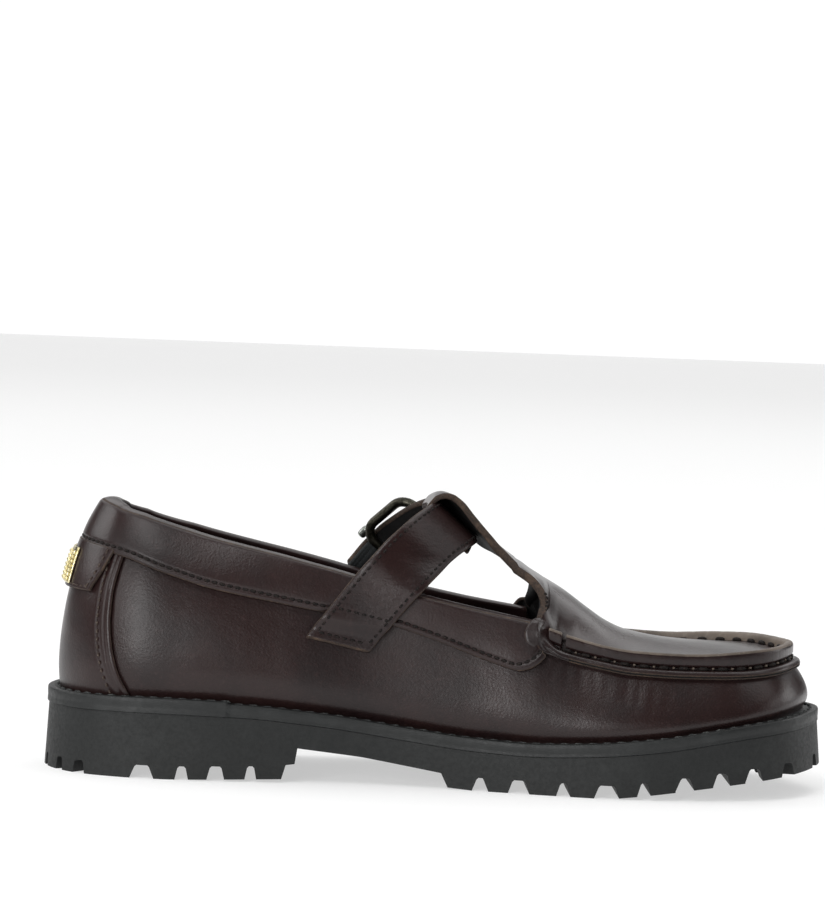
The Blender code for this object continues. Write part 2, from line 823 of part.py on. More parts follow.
def back_sheet(name, made_of, edge, shares, levels, ends, out, thick):
    """A piece round the back of the heel, on the wall, between two heights.

    shares run from -1 at its medial edge to 1 at its lateral edge, ends(x) gives its lowest and
    highest z at a place, and thick(share) its thickness.
    """
    shell = Shell()
    rows = []
    for share in shares:
        side = MEDIAL if share < 0 else LATERAL
        row = []
        for i in range(levels + 1):
            t = 0.05
            for _ in range(4):
                x = OUT.at(side, t)[0][0]
                low, high = ends(x)
                z = low + (high - low) * i / levels
                t = abs(share) * OUT.place_of(side, BACK_EDGES.read(edge, z))
            foot = feather(x)
            v = (z - foot) / (REAR.read(side_name("top", side), x) - foot)
            row.append(shell.point(wall(side, t, v, out + thick(share)), wall(side, t, v, out)))
        rows.append(row)
    for first, second in zip(rows, rows[1:]):
        shell.strip(second, first)
    return shell.build(name, made_of)


def build_heel_pieces(counter_leather, tab_leather, brass):
    """Counter with its raised front edge, the tab over it and the plain bar on the tab."""
    below_band = lambda x: COLLAR.read("low", x) - 2 * FIT_GAP
    counter_shares = [-1, -0.94, *np.linspace(-0.86, 0.86, 15), 0.94, 1]
    raised = {0.94: COUNTER_EDGE, 1: -COUNTER_EDGE}
    counter = lambda share: COUNTER_THICK + raised.get(abs(share), 0.0)
    back_sheet("heel_counter", counter_leather, "counter", counter_shares, 9,
               lambda x: (feather(x) + FIT_GAP, below_band(x)), COUNTER_GAP, counter)
    tab_out = COUNTER_GAP + COUNTER_THICK + COUNTER_EDGE + FIT_GAP / 2
    back_sheet("heel_tab", tab_leather, "tab", np.linspace(-1, 1, 13), 4,
               lambda x: (TAB_LOW, below_band(x)), tab_out, lambda share: TAB_THICK)
    badge_out = tab_out + TAB_THICK + FIT_GAP
    back_sheet("heel_badge", brass, "badge", np.linspace(-1, 1, 9), 3,
               lambda x: BADGE_HEIGHTS, badge_out, lambda share: BADGE_THICK)


def strap_point(side, s, across, out):
    """A point of the strap's path: s from its middle, across its width, out of its seat.

    Below the top line it lies on the wall or on the collar band, above it in a free arch.
    """
    up = STRAP.read("up", s)
    arch = STRAP.read("side", s)
    along = STRAP.read("along", s) + across
    ahead = 0.5
    rise = STRAP.read("up", s + ahead) - STRAP.read("up", max(s - ahead, 0))
    run = STRAP.read("side", s + ahead) - STRAP.read("side", max(s - ahead, 0))
    length = math.hypot(rise, run)
    x, z = instep(along, up)
    top = REAR.read(side_name("top", side), x)
    free = smooth_step((z - top - FREE_START) / FREE_EASE)
    x, z = instep(along, up + free * out * run / length)
    y_arch = side * (arch - out * rise / length) + CENTRE_Y
    covered = smooth_step((z - COLLAR.read("low", x) + SEAT_START) / SEAT_EASE)
    seat = SEWN_GAP + (COLLAR_GAP + COLLAR_THICK) * covered
    y_wall = on_wall(side, x, z, seat + out)
    return np.array([x, y_wall + (y_arch - y_wall) * free, z])


def strap_sheet(stations, cells, half_width, thick, holes=()):
    """A band along the strap's path.

    Each station holds the side, the length, the lift, the slant and the point of its end.
    """
    shell = Shell()
    rows = []
    for side, s, lift, slant, point in stations:
        row = []
        for j in range(cells + 1):
            across = half_width * (2 * j / cells - 1)
            place = abs(s + slant * across - point * abs(across))
            outer = strap_point(side, place, across, lift + thick)
            row.append(shell.point(outer, strap_point(side, place, across, lift)))
        rows.append(row)
    for i, (first, second) in enumerate(zip(rows, rows[1:])):
        for j in range(cells):
            if (i, j) not in holes:
                shell.face(first[j], second[j], second[j + 1], first[j + 1])
    return shell


def build_strap(leather):
    """Strap: sewn end on the medial wall, over the instep, through the T-bar and the buckle."""
    sewn = [(MEDIAL, s, 0.0, -END_SLANT * smooth_step((s - SLANT_START) / SLANT_LENGTH), 0.0)
            for s in SEWN_STEPS]
    tail = [(LATERAL, s, TAIL.read("lift", s), 0.0,
             TAIL_POINT * smooth_step((s - POINT_START) / POINT_LENGTH))
            for s in TAIL_STEPS]
    first = len(sewn) + TAIL_STEPS.index(PRONG_SLOT[0])
    holes = [(first + i, 2) for i in range(len(PRONG_SLOT) - 1)]
    return strap_sheet(sewn + tail, 5, STRAP_WIDTH / 2, STRAP_THICK, holes).build("strap", leather)


def build_buckle_strap(elastic):
    """Short elastic from the lateral wall up to the buckle's bar."""
    steps = [(LATERAL, s, 0.0, END_SLANT * smooth_step((s - SLANT_START) / SLANT_LENGTH), 0.0)
             for s in ELASTIC_STEPS]
    shell = strap_sheet(steps, 4, STRAP_WIDTH / 2 - ELASTIC_INSET, ELASTIC_THICK)
    return shell.build("buckle_strap", elastic)


def tube(name, made_of, path, radius, sides, closed=False):
    """A round bar along a path of points, with flat ends unless it is closed."""
    path = [np.array(p, float) for p in path]
    count = len(path)
    points = []
    for i, centre in enumerate(path):
        before = path[i - 1] if closed or i else centre
        after = path[(i + 1) % count] if closed or i < count - 1 else centre
        along = (after - before) / np.linalg.norm(after - before)
        across = np.cross(along, (0.3, 1.0, 0.2))
        across /= np.linalg.norm(across)
        up = np.cross(along, across)
        for j in range(sides):
            turn = 2 * math.pi * j / sides
            points.append(centre + radius * (across * math.cos(turn) + up * math.sin(turn)))
    faces = []
    for i in range(count if closed else count - 1):
        after = (i + 1) % count
        for j in range(sides):
            side = (j + 1) % sides
            faces.append([i * sides + j, i * sides + side, after * sides + side, after * sides + j])
    if not closed:
        faces += [list(range(sides)), list(range((count - 1) * sides, count * sides))]
    return solid(name, made_of, points, faces)


def build_buckle(frame_metal, prong_metal):
    """Rounded frame on the lateral side, with its bar under the strap and its prong over it."""
    half, corner, turns = BUCKLE_WIDTH / 2, FRAME_CORNER, 4
    middle = (BAR_PLACE + RIM_PLACE) / 2
    reach = (BAR_PLACE - RIM_PLACE) / 2
    path = []
    for sx, ss, start in ((1, 1, 0), (-1, 1, 90), (-1, -1, 180), (1, -1, 270)):
        for i in range(turns + 1):
            turn = math.radians(start + 90 * i / turns)
            across = sx * (half - corner) + corner * math.cos(turn)
            s = middle + ss * (reach - corner) + corner * math.sin(turn)
            share = smooth_step((s - RIM_PLACE - 3) / (2 * reach - corner))
            out = RIM_LIFT + (BAR_LIFT - RIM_LIFT) * share
            path.append(strap_point(LATERAL, s, across, out))
    tube("buckle_frame", frame_metal, path, WIRE / 2, 8, closed=True)
    top = RIM_LIFT + WIRE / 2 + PRONG / 2 + FIT_GAP
    prong = ((BAR_PLACE - WIRE / 2 - PRONG_FOOT, 1.4), *PRONG_RISE,
             (PRONG_REST, top), (RIM_PLACE, top + 0.1), (RIM_PLACE - PRONG_END, top - 0.2))
    points = [strap_point(LATERAL, s, 0.0, out) for s, out in prong]
    tube("buckle_prong", prong_metal, points, PRONG / 2, 6)


def main():
    for thing in list(bpy.data.objects):
        bpy.data.objects.remove(thing)
    made_of = {name: material(name, (r, g, b), roughness, metallic)
               for name, r, g, b, roughness, metallic in FINISHES}
    build_outsole(made_of["outsole_rubber"])
    build_welt(made_of["welt_rubber"])
    build_insole(made_of["insole_leather"])
    build_upper(made_of["upper_leather"])
    build_collar_band(made_of["collar_leather"])
    build_heel_pieces(made_of["counter_leather"], made_of["tab_leather"], made_of["badge_brass"])
    build_strap(made_of["strap_leather"])
    build_buckle_strap(made_of["strap_elastic"])
    build_buckle(made_of["frame_nickel"], made_of["prong_nickel"])


main()
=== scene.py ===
"""Looks of a T-bar loafer with a lugged rubber sole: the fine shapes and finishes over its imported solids.

Sizes in the tables and in the fields of the classes are in millimetres, in the shoe's own frame: the toe
points to +X, the medial side faces -Y, the ground is z = 0. Meshes are made in metres.
"""
import logging
import math
from dataclasses import dataclass
from enum import IntEnum
from typing import Callable, Iterable, Sequence

import bmesh
import bpy
import numpy as np
from bpy.types import Material, NodeSocket, Object
from mathutils import Matrix, Vector
from numpy import ndarray


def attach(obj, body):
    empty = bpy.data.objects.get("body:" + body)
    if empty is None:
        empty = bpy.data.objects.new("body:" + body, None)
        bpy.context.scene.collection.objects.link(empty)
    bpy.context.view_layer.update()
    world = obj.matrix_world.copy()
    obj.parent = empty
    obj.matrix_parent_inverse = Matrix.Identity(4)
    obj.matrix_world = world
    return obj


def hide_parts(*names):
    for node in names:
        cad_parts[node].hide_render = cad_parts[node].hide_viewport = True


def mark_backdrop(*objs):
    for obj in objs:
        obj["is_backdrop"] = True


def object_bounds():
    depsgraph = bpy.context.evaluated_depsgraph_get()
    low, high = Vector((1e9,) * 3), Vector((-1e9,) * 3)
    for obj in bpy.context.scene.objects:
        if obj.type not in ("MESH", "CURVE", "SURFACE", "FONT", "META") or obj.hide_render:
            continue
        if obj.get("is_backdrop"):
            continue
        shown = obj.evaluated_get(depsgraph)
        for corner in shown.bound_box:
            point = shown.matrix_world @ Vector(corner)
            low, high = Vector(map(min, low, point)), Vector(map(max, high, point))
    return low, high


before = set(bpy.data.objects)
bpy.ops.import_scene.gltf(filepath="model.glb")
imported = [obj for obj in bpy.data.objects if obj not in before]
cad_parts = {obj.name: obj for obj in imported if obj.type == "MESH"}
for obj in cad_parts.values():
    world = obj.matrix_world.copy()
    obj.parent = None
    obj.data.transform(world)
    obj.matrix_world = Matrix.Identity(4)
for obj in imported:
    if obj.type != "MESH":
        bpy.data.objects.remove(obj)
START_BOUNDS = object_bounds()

MM = 0.001
log = logging.getLogger("loafer")


class Side(IntEnum):
    """The two sides of the foot; the value is the sign of y."""

    MEDIAL = -1
    LATERAL = 1


class Layer(IntEnum):
    """The faces of a sheet; the value is the number of the material."""

    OUTER = 0
    INNER = 1
    EDGE = 2


class Table:
    """Rows of sizes under named columns, read smoothly between the rows by the first column."""

    def __init__(self, names: str, *rows: Sequence[float]) -> None:
        """Keep the rows under their names."""
        self.names = names.split()
        self.rows = np.array(rows, float)

    def read(self, name: str, key: float | ndarray) -> ndarray:
        """Read a column.

        Args:
            name: the column's name.
            key: one or more values of the first column.

        Returns:
            The column's values there, with no overshoot between two rows.
        """
        keys = self.rows[:, 0]
        values = self.rows[:, self.names.index(name)]
        step = np.diff(keys)
        rise = np.diff(values) / step
        slope = np.empty_like(values)
        slope[0], slope[-1] = rise[0], rise[-1]
        product = rise[:-1] * rise[1:]
        total = rise[:-1] + rise[1:]
        slope[1:-1] = np.where(product > 0, 2 * product / np.where(product > 0, total, 1), 0)
        i = np.clip(np.searchsorted(keys, key) - 1, 0, len(step) - 1)
        u = np.clip((key - keys[i]) / step[i], 0.0, 1.0)
        ease = u * u * (3 - 2 * u)
        swing = u * (1 - u) * step[i] * ((1 - u) * slope[i] - u * slope[i + 1])
        return values[i] + (values[i + 1] - values[i]) * ease + swing


# Outline of the sole at its top rim
OUTLINE = Table(
    "x medial lateral",
    (-131.0, -17.4, 11.4),
    (-122.0, -28.6, 22.6),
    (-108.0, -35.2, 29.4),
    (-88.0, -37.8, 32.2),
    (-55.0, -37.2, 34.2),
    (-22.0, -36.0, 38.0),
    (8.0, -39.6, 44.6),
    (35.0, -45.6, 49.6),
    (60.0, -50.2, 50.6),
    (84.0, -49.8, 46.8),
    (105.0, -45.8, 39.0),
    (120.0, -36.4, 26.6),
    (129.3, -22.0, 9.0),
)
HEEL_TIP = (-134.3, -3.0)
TOE_TIP = (133.2, -6.0)

# Height of the sole's top rim, from the heel over the waist to the toe spring
RIM = Table(
    "x top",
    (-135, 26.5),
    (-100, 26.9),
    (-70, 26.4),
    (-40, 24.0),
    (-12, 20.4),
    (12, 17.9),
    (30, 17.3),
    (50, 18.3),
    (75, 20.9),
    (105, 26.0),
    (135, 29.4),
)

# Rear wall: top line, how far it leans in at the top, how late it leans, how far it swells
REAR = Table(
    "x top_medial top_lateral lean_medial lean_lateral power swell",
    (-134, 91.4, 91.4, 12.6, 12.6, 2.6, 0.9),
    (-118, 89.0, 88.4, 12.4, 12.4, 2.7, 1.7),
    (-100, 85.7, 84.7, 11.8, 12.2, 2.9, 2.3),
    (-84, 81.7, 80.8, 11.0, 11.6, 2.8, 2.6),
    (-62, 77.1, 75.5, 7.8, 8.8, 2.5, 3.0),
    (-40, 72.2, 70.0, 5.0, 6.6, 2.2, 3.2),
    (-10, 64.5, 61.8, 2.2, 6.8, 2.0, 3.2),
    (12, 59.8, 57.4, 3.8, 9.0, 2.0, 2.8),
    (34, 55.8, 54.0, 6.6, 12.0, 2.0, 2.2),
)

# Front wall: height and lean at the lip, top of the raised seam
FRONT = Table(
    "x lip lean_medial lean_lateral seam swell",
    (30, 50.0, 5.6, 10.6, 57.6, 2.0),
    (36, 46.9, 6.0, 10.6, 55.4, 1.9),
    (42, 44.9, 6.2, 10.2, 53.5, 1.8),
    (52, 43.0, 6.6, 9.6, 51.2, 1.7),
    (65, 41.3, 7.0, 9.0, 49.6, 1.6),
    (85, 40.7, 6.6, 8.0, 49.0, 1.5),
    (105, 41.0, 5.1, 6.1, 50.1, 1.4),
    (120, 42.0, 4.7, 5.3, 51.1, 2.0),
    (133, 43.2, 4.6, 4.6, 51.6, 2.0),
)

# Apron: height of its middle line from the throat to the toe
APRON = Table(
    "x middle",
    (25.4, 76.3),
    (30.5, 73.0),
    (36, 70.0),
    (43, 66.2),
    (52, 59.9),
    (59, 55.4),
    (66, 52.6),
    (80, 50.2),
    (100, 49.0),
    (122, 48.0),
)

# T-bar, from the throat over its fold to the end under the strap, along the instep and square to it
TBAR = Table(
    "row along up half_width drop thick tilt",
    (1, -25.3, 75.3, 21.0, 1.2, 3.0, 0.0),
    (2, -31.3, 74.6, 16.4, 0.5, 3.0, 0.1),
    (3, -38.0, 74.0, 13.2, 0.2, 2.9, 0.5),
    (4, -40.8, 73.8, 12.2, 0.2, 2.8, 0.8),
    (5, -43.4, 73.7, 11.8, 0.1, 2.5, 1.1),
    (6, -52.6, 74.5, 10.4, 0.1, 2.4, 1.3),
    (7, -58.4, 75.2, 10.0, 0.1, 2.3, 1.4),
    (8, -61.8, 75.2, 10.0, 0.2, 2.2, 1.3),
    (9, -65.4, 74.2, 10.0, 0.6, 2.0, 0.9),
    (10, -67.2, 71.4, 10.0, 1.1, 1.8, 0.4),
    (11, -66.8, 67.8, 10.0, 1.5, 1.5, 0.1),
    (12, -64.4, 66.2, 9.8, 1.8, 1.4, 0.0),
    (13, -56.0, 66.2, 9.6, 1.9, 1.3, 0.0),
    (14, -48.0, 66.3, 9.4, 1.9, 1.3, 0.0),
    (15, -45.6, 66.3, 9.2, 1.9, 1.3, 0.0),
)

# Lower edge of the collar band
COLLAR = Table(
    "x low",
    (-134, 77.6),
    (-115, 75.4),
    (-95, 69.9),
    (-81, 66.0),
    (-56, 61.5),
    (-42, 59.1),
    (-18, 55.3),
    (-9, 52.8),
    (8, 47.1),
    (16, 44.0),
    (22, 41.9),
    (26, 41.2),
    (29, 41.9),
    (31, 44.2),
)

# Front edges of the pieces at the back, on the sole's outline, by height
BACK_EDGES = Table(
    "z counter tab badge",
    (28, -107.0, -125.0, -132.2),
    (37, -111.2, -125.0, -132.2),
    (46, -113.6, -125.0, -132.2),
    (55, -114.8, -124.0, -132.2),
    (62, -114.9, -124.0, -132.2),
    (68, -114.2, -121.2, -132.2),
    (76, -112.6, -117.0, -132.2),
)

# Path of the strap from its middle, under the T-bar, to its ends, by length
STRAP = Table(
    "s up side along",
    (0, 68.3, 0.0, -55.4),
    (6, 68.2, 6.0, -55.6),
    (11, 67.3, 10.9, -56.2),
    (16, 64.9, 15.3, -57.2),
    (22, 60.9, 19.8, -58.5),
    (30, 54.5, 24.9, -59.6),
    (38, 47.2, 28.2, -60.3),
    (46, 39.6, 30.8, -60.3),
    (60, 25.8, 33.8, -59.6),
    (80, 6.0, 38.0, -58.0),
)

# Seat of the strap's free end over the buckle's bar and over the elastic
TAIL = Table(
    "s lift",
    (0, 0.0),
    (24, 0.0),
    (32, 0.9),
    (41, 3.3),
    (46, 2.9),
    (52, 2.2),
    (80, 2.2),
)

# Gaps between the lugs: place, width at the ground and at their roof, reach from the rim (0: right across)
LUG_GAPS = Table(
    "x foot roof reach",
    (-133.4, 3.2, 2.4, 14.0),
    (-129.0, 3.8, 3.0, 16.0),
    (-122.5, 5.0, 3.8, 18.0),
    (-101.0, 8.2, 5.0, 0.0),
    (-87.4, 4.6, 2.8, 0.0),
    (-75.8, 6.0, 4.0, 0.0),
    (-63.9, 4.0, 2.4, 0.0),
    (14.4, 5.6, 2.6, 0.0),
    (27.4, 7.2, 4.5, 0.0),
    (42.4, 4.8, 2.4, 0.0),
    (57.0, 8.6, 5.6, 0.0),
    (69.6, 4.6, 2.4, 0.0),
    (83.6, 6.6, 3.4, 0.0),
    (96.2, 6.0, 3.6, 0.0),
    (107.6, 6.4, 3.8, 0.0),
    (119.6, 6.4, 4.2, 22.0),
    (130.2, 5.4, 3.6, 16.0),
)

# Channels along the sole that part the lugs of the rim from those of the middle
CHANNELS = Table(
    "y start end",
    (-13.5, -118.0, -50.0),
    (7.5, -118.0, -50.0),
    (-17.0, 0.0, 114.0),
    (14.0, 0.0, 114.0),
)

# Under edge of the sole from the heel breast over the arch, and from the tread to the toe
ARCH = (
    (-92.0, -4.0),
    (-92.0, 0.0),
    (-53.4, 1.3),
    (-52.0, 6.2),
    (-49.0, 6.6),
    (-48.2, 12.0),
    (-26.0, 9.6),
    (-12.0, 7.4),
    (1.0, 5.4),
    (3.4, 0.6),
    (12.0, 0.0),
    (12.0, -4.0),
)
TOE_SPRING = (
    (58.0, 0.0),
    (67.0, 1.1),
    (76.0, 2.3),
    (89.0, 4.2),
    (101.0, 5.9),
    (113.0, 7.4),
    (125.0, 8.9),
    (140.0, 10.4),
)

# Edge of the lip where it runs up over the collar's end, seen from the side, by share of its length
LIP_END = Table(
    "share x z out",
    (0.0, 33.2, 59.6, 1.6),
    (0.10, 30.8, 59.3, 2.9),
    (0.20, 28.9, 57.4, 3.5),
    (0.32, 27.7, 54.4, 3.6),
    (0.42, 28.2, 51.9, 3.5),
    (0.52, 30.2, 49.9, 3.1),
    (0.66, 34.2, 48.0, 2.2),
    (0.80, 38.0, 46.6, 2.0),
    (1.0, 44.0, 44.6, 1.7),
)

# Raised line inside the lip's end, seen from the side
LIP_FOLD = Table(
    "z x",
    (49.1, 38.9),
    (49.9, 35.9),
    (52.0, 33.1),
    (54.2, 32.2),
    (58.1, 34.2),
)

# Cut edge of the T-bar between the throat's corner and the bar's second row: place seen from the side,
# share of the corner's distance from the middle, and where the middle of that row lies
THROAT = Table(
    "share x z spread middle",
    (0.0, 33.4, 59.0, 1.0, 37.0),
    (0.2, 34.9, 61.6, 0.88, 36.2),
    (0.4, 35.5, 64.6, 0.72, 35.0),
    (0.6, 34.6, 67.9, 0.52, 33.0),
    (0.8, 31.6, 71.7, 0.26, 29.8),
    (1.0, 25.1, 75.9, 0.0, 25.46),
)

# Creases of the worn wall, seen from the side: middle, length, depth, turn from upright, half width
CREASES = Table(
    "x z length depth turn width",
    (36.5, 42.0, 8.0, 0.08, 12.0, 0.8),
    (41.0, 40.5, 9.0, 0.07, 5.0, 0.8),
    (45.5, 40.0, 8.0, 0.08, -4.0, 0.9),
    (50.5, 39.0, 10.0, 0.07, -8.0, 1.0),
    (55.0, 37.0, 9.0, 0.05, 3.0, 1.0),
    (58.5, 36.5, 10.0, -0.03, 4.0, 1.1),
    (62.5, 36.6, 12.0, 0.06, 6.0, 1.1),
    (67.0, 36.0, 13.0, 0.06, 10.0, 1.1),
    (69.6, 35.0, 11.0, -0.03, 12.0, 0.9),
    (72.0, 34.0, 11.0, 0.05, 14.0, 1.1),
    (77.0, 33.0, 9.0, 0.04, 18.0, 1.2),
)


def smooth(value: float | ndarray) -> ndarray:
    """Ease from 0 to 1."""
    value = np.clip(value, 0.0, 1.0)
    return value * value * (3 - 2 * value)


def unit(vectors: ndarray) -> ndarray:
    """Vectors brought to length 1."""
    return vectors / np.maximum(np.linalg.norm(vectors, axis=-1, keepdims=True), 1e-12)


def side_name(name: str, side: Side) -> str:
    """Column name of a table for one side of the shoe."""
    return f"{name}_{side.name.lower()}"


def stack(*parts: float | ndarray) -> ndarray:
    """Coordinates put together into points."""
    return np.stack(np.broadcast_arrays(*parts), -1)


def along_line(stops: ndarray, run: ndarray, values: ndarray) -> ndarray:
    """A line's values at some lengths of its run, column by column."""
    return stack(*(np.interp(stops, run, column) for column in values.T))


def beside(plan: ndarray, normal: ndarray, out: float | ndarray,
           z: float | ndarray) -> ndarray:
    """Points of a line in plan, moved outward by out and set at height z."""
    moved = plan + normal * np.asarray(out)[..., None]
    return stack(moved[..., 0], moved[..., 1], z)


def both_sides(t: ndarray) -> tuple[tuple[Side, ndarray], ...]:
    """Places round the whole shoe: the medial side from heel to toe, then the lateral side back."""
    return (Side.MEDIAL, t[:-1]), (Side.LATERAL, t[:0:-1])


class Last:
    """The shoe's form: outline of the sole and the surface of its wall."""

    SPAN_STEPS = 24
    THROAT_X = 30.5
    FRONT_START = 22.0
    FRONT_EASE = 26.0
    SWELL_PLACE = 0.2
    TOE_SWELL = 0.25
    WELT_WIDTH = 4.0
    WELT_AT_TOE = 1.4
    WELT_AT_HEEL = 1.3
    FOOT_GAP = 0.3
    CENTRE_Y = -1.0
    STRAP_LEAN = math.radians(41.35)
    COLLAR_SEAT = 2.6
    SEWN_GAP = 0.5
    ARCH_GAP = 1.0
    ARCH_EASE = 13.0
    BAND_REACH = 7.0
    BAND_EASE = 6.0
    FAR_TILT = 1.2

    def __init__(self) -> None:
        """Lay the outline's curve and split it into two sides."""
        medial = [(x, m) for x, m, _ in OUTLINE.rows]
        lateral = [(x, y) for x, _, y in OUTLINE.rows[::-1]]
        curve = self.spline(np.array([HEEL_TIP, *medial, TOE_TIP, *lateral]))
        half = (len(medial) + 1) * self.SPAN_STEPS
        loop = np.vstack([curve, curve[:1]])
        self.sides = {Side.MEDIAL: loop[:half + 1], Side.LATERAL: loop[half:][::-1]}
        self.lengths: dict[Side, ndarray] = {}
        self.normals: dict[Side, ndarray] = {}
        for side, line in self.sides.items():
            run = np.hypot(*np.diff(line, axis=0).T)
            self.lengths[side] = np.concatenate([[0], np.cumsum(run)]) / run.sum()
            along = np.gradient(line, axis=0)
            along[0], along[-1] = (0, side), (0, -side)
            along = unit(along)
            self.normals[side] = side * np.stack([-along[:, 1], along[:, 0]], 1)

    def spline(self, points: ndarray) -> ndarray:
        """A closed curve through the points, with chord-length tangents.

        Args:
            points: corners of the outline, in order.

        Returns:
            Points of the curve, SPAN_STEPS to each span.
        """
        before, after = np.roll(points, 1, 0), np.roll(points, -1, 0)
        chord = np.linalg.norm(after - points, axis=1)[:, None]
        last = np.roll(chord, 1, 0)
        tangent = (points - before) / last * chord + (after - points) / chord * last
        tangent /= chord + last
        curve = []
        for i, (start, end) in enumerate(zip(points, after)):
            for u in np.arange(self.SPAN_STEPS) / self.SPAN_STEPS:
                ease = u * u * (3 - 2 * u)
                swing = (1 - u) * tangent[i] - u * tangent[(i + 1) % len(points)]
                curve.append(start + (end - start) * ease + u * (1 - u) * chord[i] * swing)
        return np.array(curve)

    def at(self, side: Side, t: ndarray, out: float | ndarray = 0.0) -> tuple[ndarray, ndarray]:
        """Points of the outline and their outward normals, from the heel tip (0) to the toe tip (1).

        Args:
            side: side of the foot.
            t: places on it.
            out: how far the points are moved outward.

        Returns:
            The points and the normals.
        """
        places = self.lengths[side]
        point = along_line(t, places, self.sides[side])
        normal = unit(along_line(t, places, self.normals[side]))
        return point + normal * np.asarray(out)[..., None], normal

    def place_of(self, side: Side, x: float | ndarray) -> ndarray:
        """The places t on a side whose outline points lie at x."""
        return np.interp(x, self.sides[side][:, 0], self.lengths[side])

    def welt_width(self, x: ndarray) -> ndarray:
        """Width of the rim's top that shows outside the upper, widest at the toe."""
        toe, heel = smooth((x - 105) / 28), smooth((-x - 110) / 22)
        return self.WELT_WIDTH + self.WELT_AT_TOE * toe + self.WELT_AT_HEEL * heel

    def feather(self, x: ndarray) -> ndarray:
        """Height of the upper's lower edge."""
        return RIM.read("top", x) + self.FOOT_GAP

    def top(self, side: Side, x: ndarray) -> ndarray:
        """Height of the wall's top line."""
        return REAR.read(side_name("top", side), x)

    def inset(self, side: Side, x: ndarray, z: ndarray) -> ndarray:
        """How far the wall lies inside the outline at a height.

        Args:
            side: side of the foot.
            x: places along the shoe.
            z: heights.

        Returns:
            The distances.
        """
        low = self.feather(x)
        total = 0.0
        front = smooth((x - self.FRONT_START) / self.FRONT_EASE)
        for table, share in ((REAR, 1 - front), (FRONT, front)):
            is_front = table is FRONT
            high = table.read("lip", x) if is_front else self.top(side, x)
            v = np.maximum((z - low) / (high - low), 0)
            if is_front:
                v = np.minimum(v, 1)
            power = 2.0 if is_front else table.read("power", x)
            q = v / (self.SWELL_PLACE + self.TOE_SWELL * smooth((x - 100) / 25))
            lean = table.read(side_name("lean", side), x) * v ** power
            total = total + share * (lean - table.read("swell", x) * q * np.exp(1 - q))
        return self.welt_width(x) + total

    def wall(self, side: Side, t: ndarray, z: ndarray, out: float | ndarray = 0.0) -> ndarray:
        """Points of the wall at given heights, moved outward by out."""
        point, normal = self.at(side, t)
        return beside(point, normal, out - self.inset(side, point[..., 0], z), z)

    def on_wall(self, side: Side, x: ndarray, z: ndarray, out: float | ndarray = 0.0) -> ndarray:
        """Points of the wall at places seen from the side.

        Args:
            side: side of the foot.
            x: places along the shoe.
            z: heights.
            out: distance outward.

        Returns:
            The points.
        """
        base = np.asarray(x, float)
        for _ in range(8):
            found = self.wall(side, self.place_of(side, base), z, out)
            base = base + (x - found[..., 0])
        return self.wall(side, self.place_of(side, base), z, out)

    def instep(self, along: ndarray, up: ndarray) -> tuple[ndarray, ndarray]:
        """Turn sizes along the slope of the instep and square to it into x and z."""
        c, s = math.cos(self.STRAP_LEAN), math.sin(self.STRAP_LEAN)
        return c * along + s * up, -s * along + c * up

    def strap(self, side: Side, s: ndarray, across: ndarray, out: ndarray) -> ndarray:
        """Points of the strap's path.

        Args:
            side: the side of the foot.
            s: length from the strap's middle.
            across: place across its width, positive towards the toe.
            out: height above its seat.

        Returns:
            Points on the wall or the collar band below the top line, and in a free arch above it.
        """
        up, arch = STRAP.read("up", s), STRAP.read("side", s)
        along = STRAP.read("along", s) + across
        ahead = 0.5
        rise = STRAP.read("up", s + ahead) - STRAP.read("up", np.maximum(s - ahead, 0))
        run = STRAP.read("side", s + ahead) - STRAP.read("side", np.maximum(s - ahead, 0))
        length = np.hypot(rise, run)
        x, z = self.instep(along, up)
        free = smooth((z - self.top(side, x) - self.ARCH_GAP) / self.ARCH_EASE)
        x, z = self.instep(along, up + free * out * run / length)
        y_arch = side * (arch - out * rise / length) + self.CENTRE_Y
        covered = smooth((z - COLLAR.read("low", x) + self.BAND_REACH) / self.BAND_EASE)
        seat = self.SEWN_GAP + self.COLLAR_SEAT * covered
        y_wall = self.on_wall(side, x, z, seat + out)[..., 1]
        return stack(x, y_wall + (y_arch - y_wall) * free, z)

    def tbar(self, row: ndarray, share: ndarray) -> ndarray:
        """Points of the T-bar.

        Args:
            row: rows of its table.
            share: from -1 on the medial edge to 1 on the lateral edge.

        Returns:
            The points.
        """
        turn = share + self.FAR_TILT * np.maximum(share, 0) ** 2
        up = TBAR.read("up", row) - TBAR.read("drop", row) * share * share - TBAR.read("tilt", row) * turn
        x, z = self.instep(TBAR.read("along", row), up)
        return stack(x, self.CENTRE_Y + share * TBAR.read("half_width", row), z)


LAST = Last()


# Materials

def colour(text: str) -> tuple[float, float, float, float]:
    """An sRGB hex colour as linear values.

    Args:
        text: the colour, as #rrggbb.

    Returns:
        Red, green, blue and 1.
    """
    parts = [int(text[i:i + 2], 16) / 255 for i in (1, 3, 5)]
    linear = [c / 12.92 if c <= 0.04045 else ((c + 0.055) / 1.055) ** 2.4 for c in parts]
    return (*linear, 1.0)


def add_node(tree: bpy.types.NodeTree, kind: str, settings: dict | None = None,
             inputs: dict | None = None) -> bpy.types.Node:
    """Add a node.

    Args:
        tree: the node tree.
        kind: the node's type name, without its ShaderNode prefix.
        settings: attributes of the node.
        inputs: values of its inputs in use, by name or number: output sockets to link, sRGB texts or numbers.

    Returns:
        The node.
    """
    node = tree.nodes.new(f"ShaderNode{kind}")
    for key, value in (settings or {}).items():
        setattr(node, key, value)
    for key, value in (inputs or {}).items():
        socket = next(s for i, s in enumerate(node.inputs) if s.enabled and key in (i, s.name))
        if isinstance(value, NodeSocket):
            tree.links.new(value, socket)
        else:
            socket.default_value = colour(value) if isinstance(value, str) else value
    return node


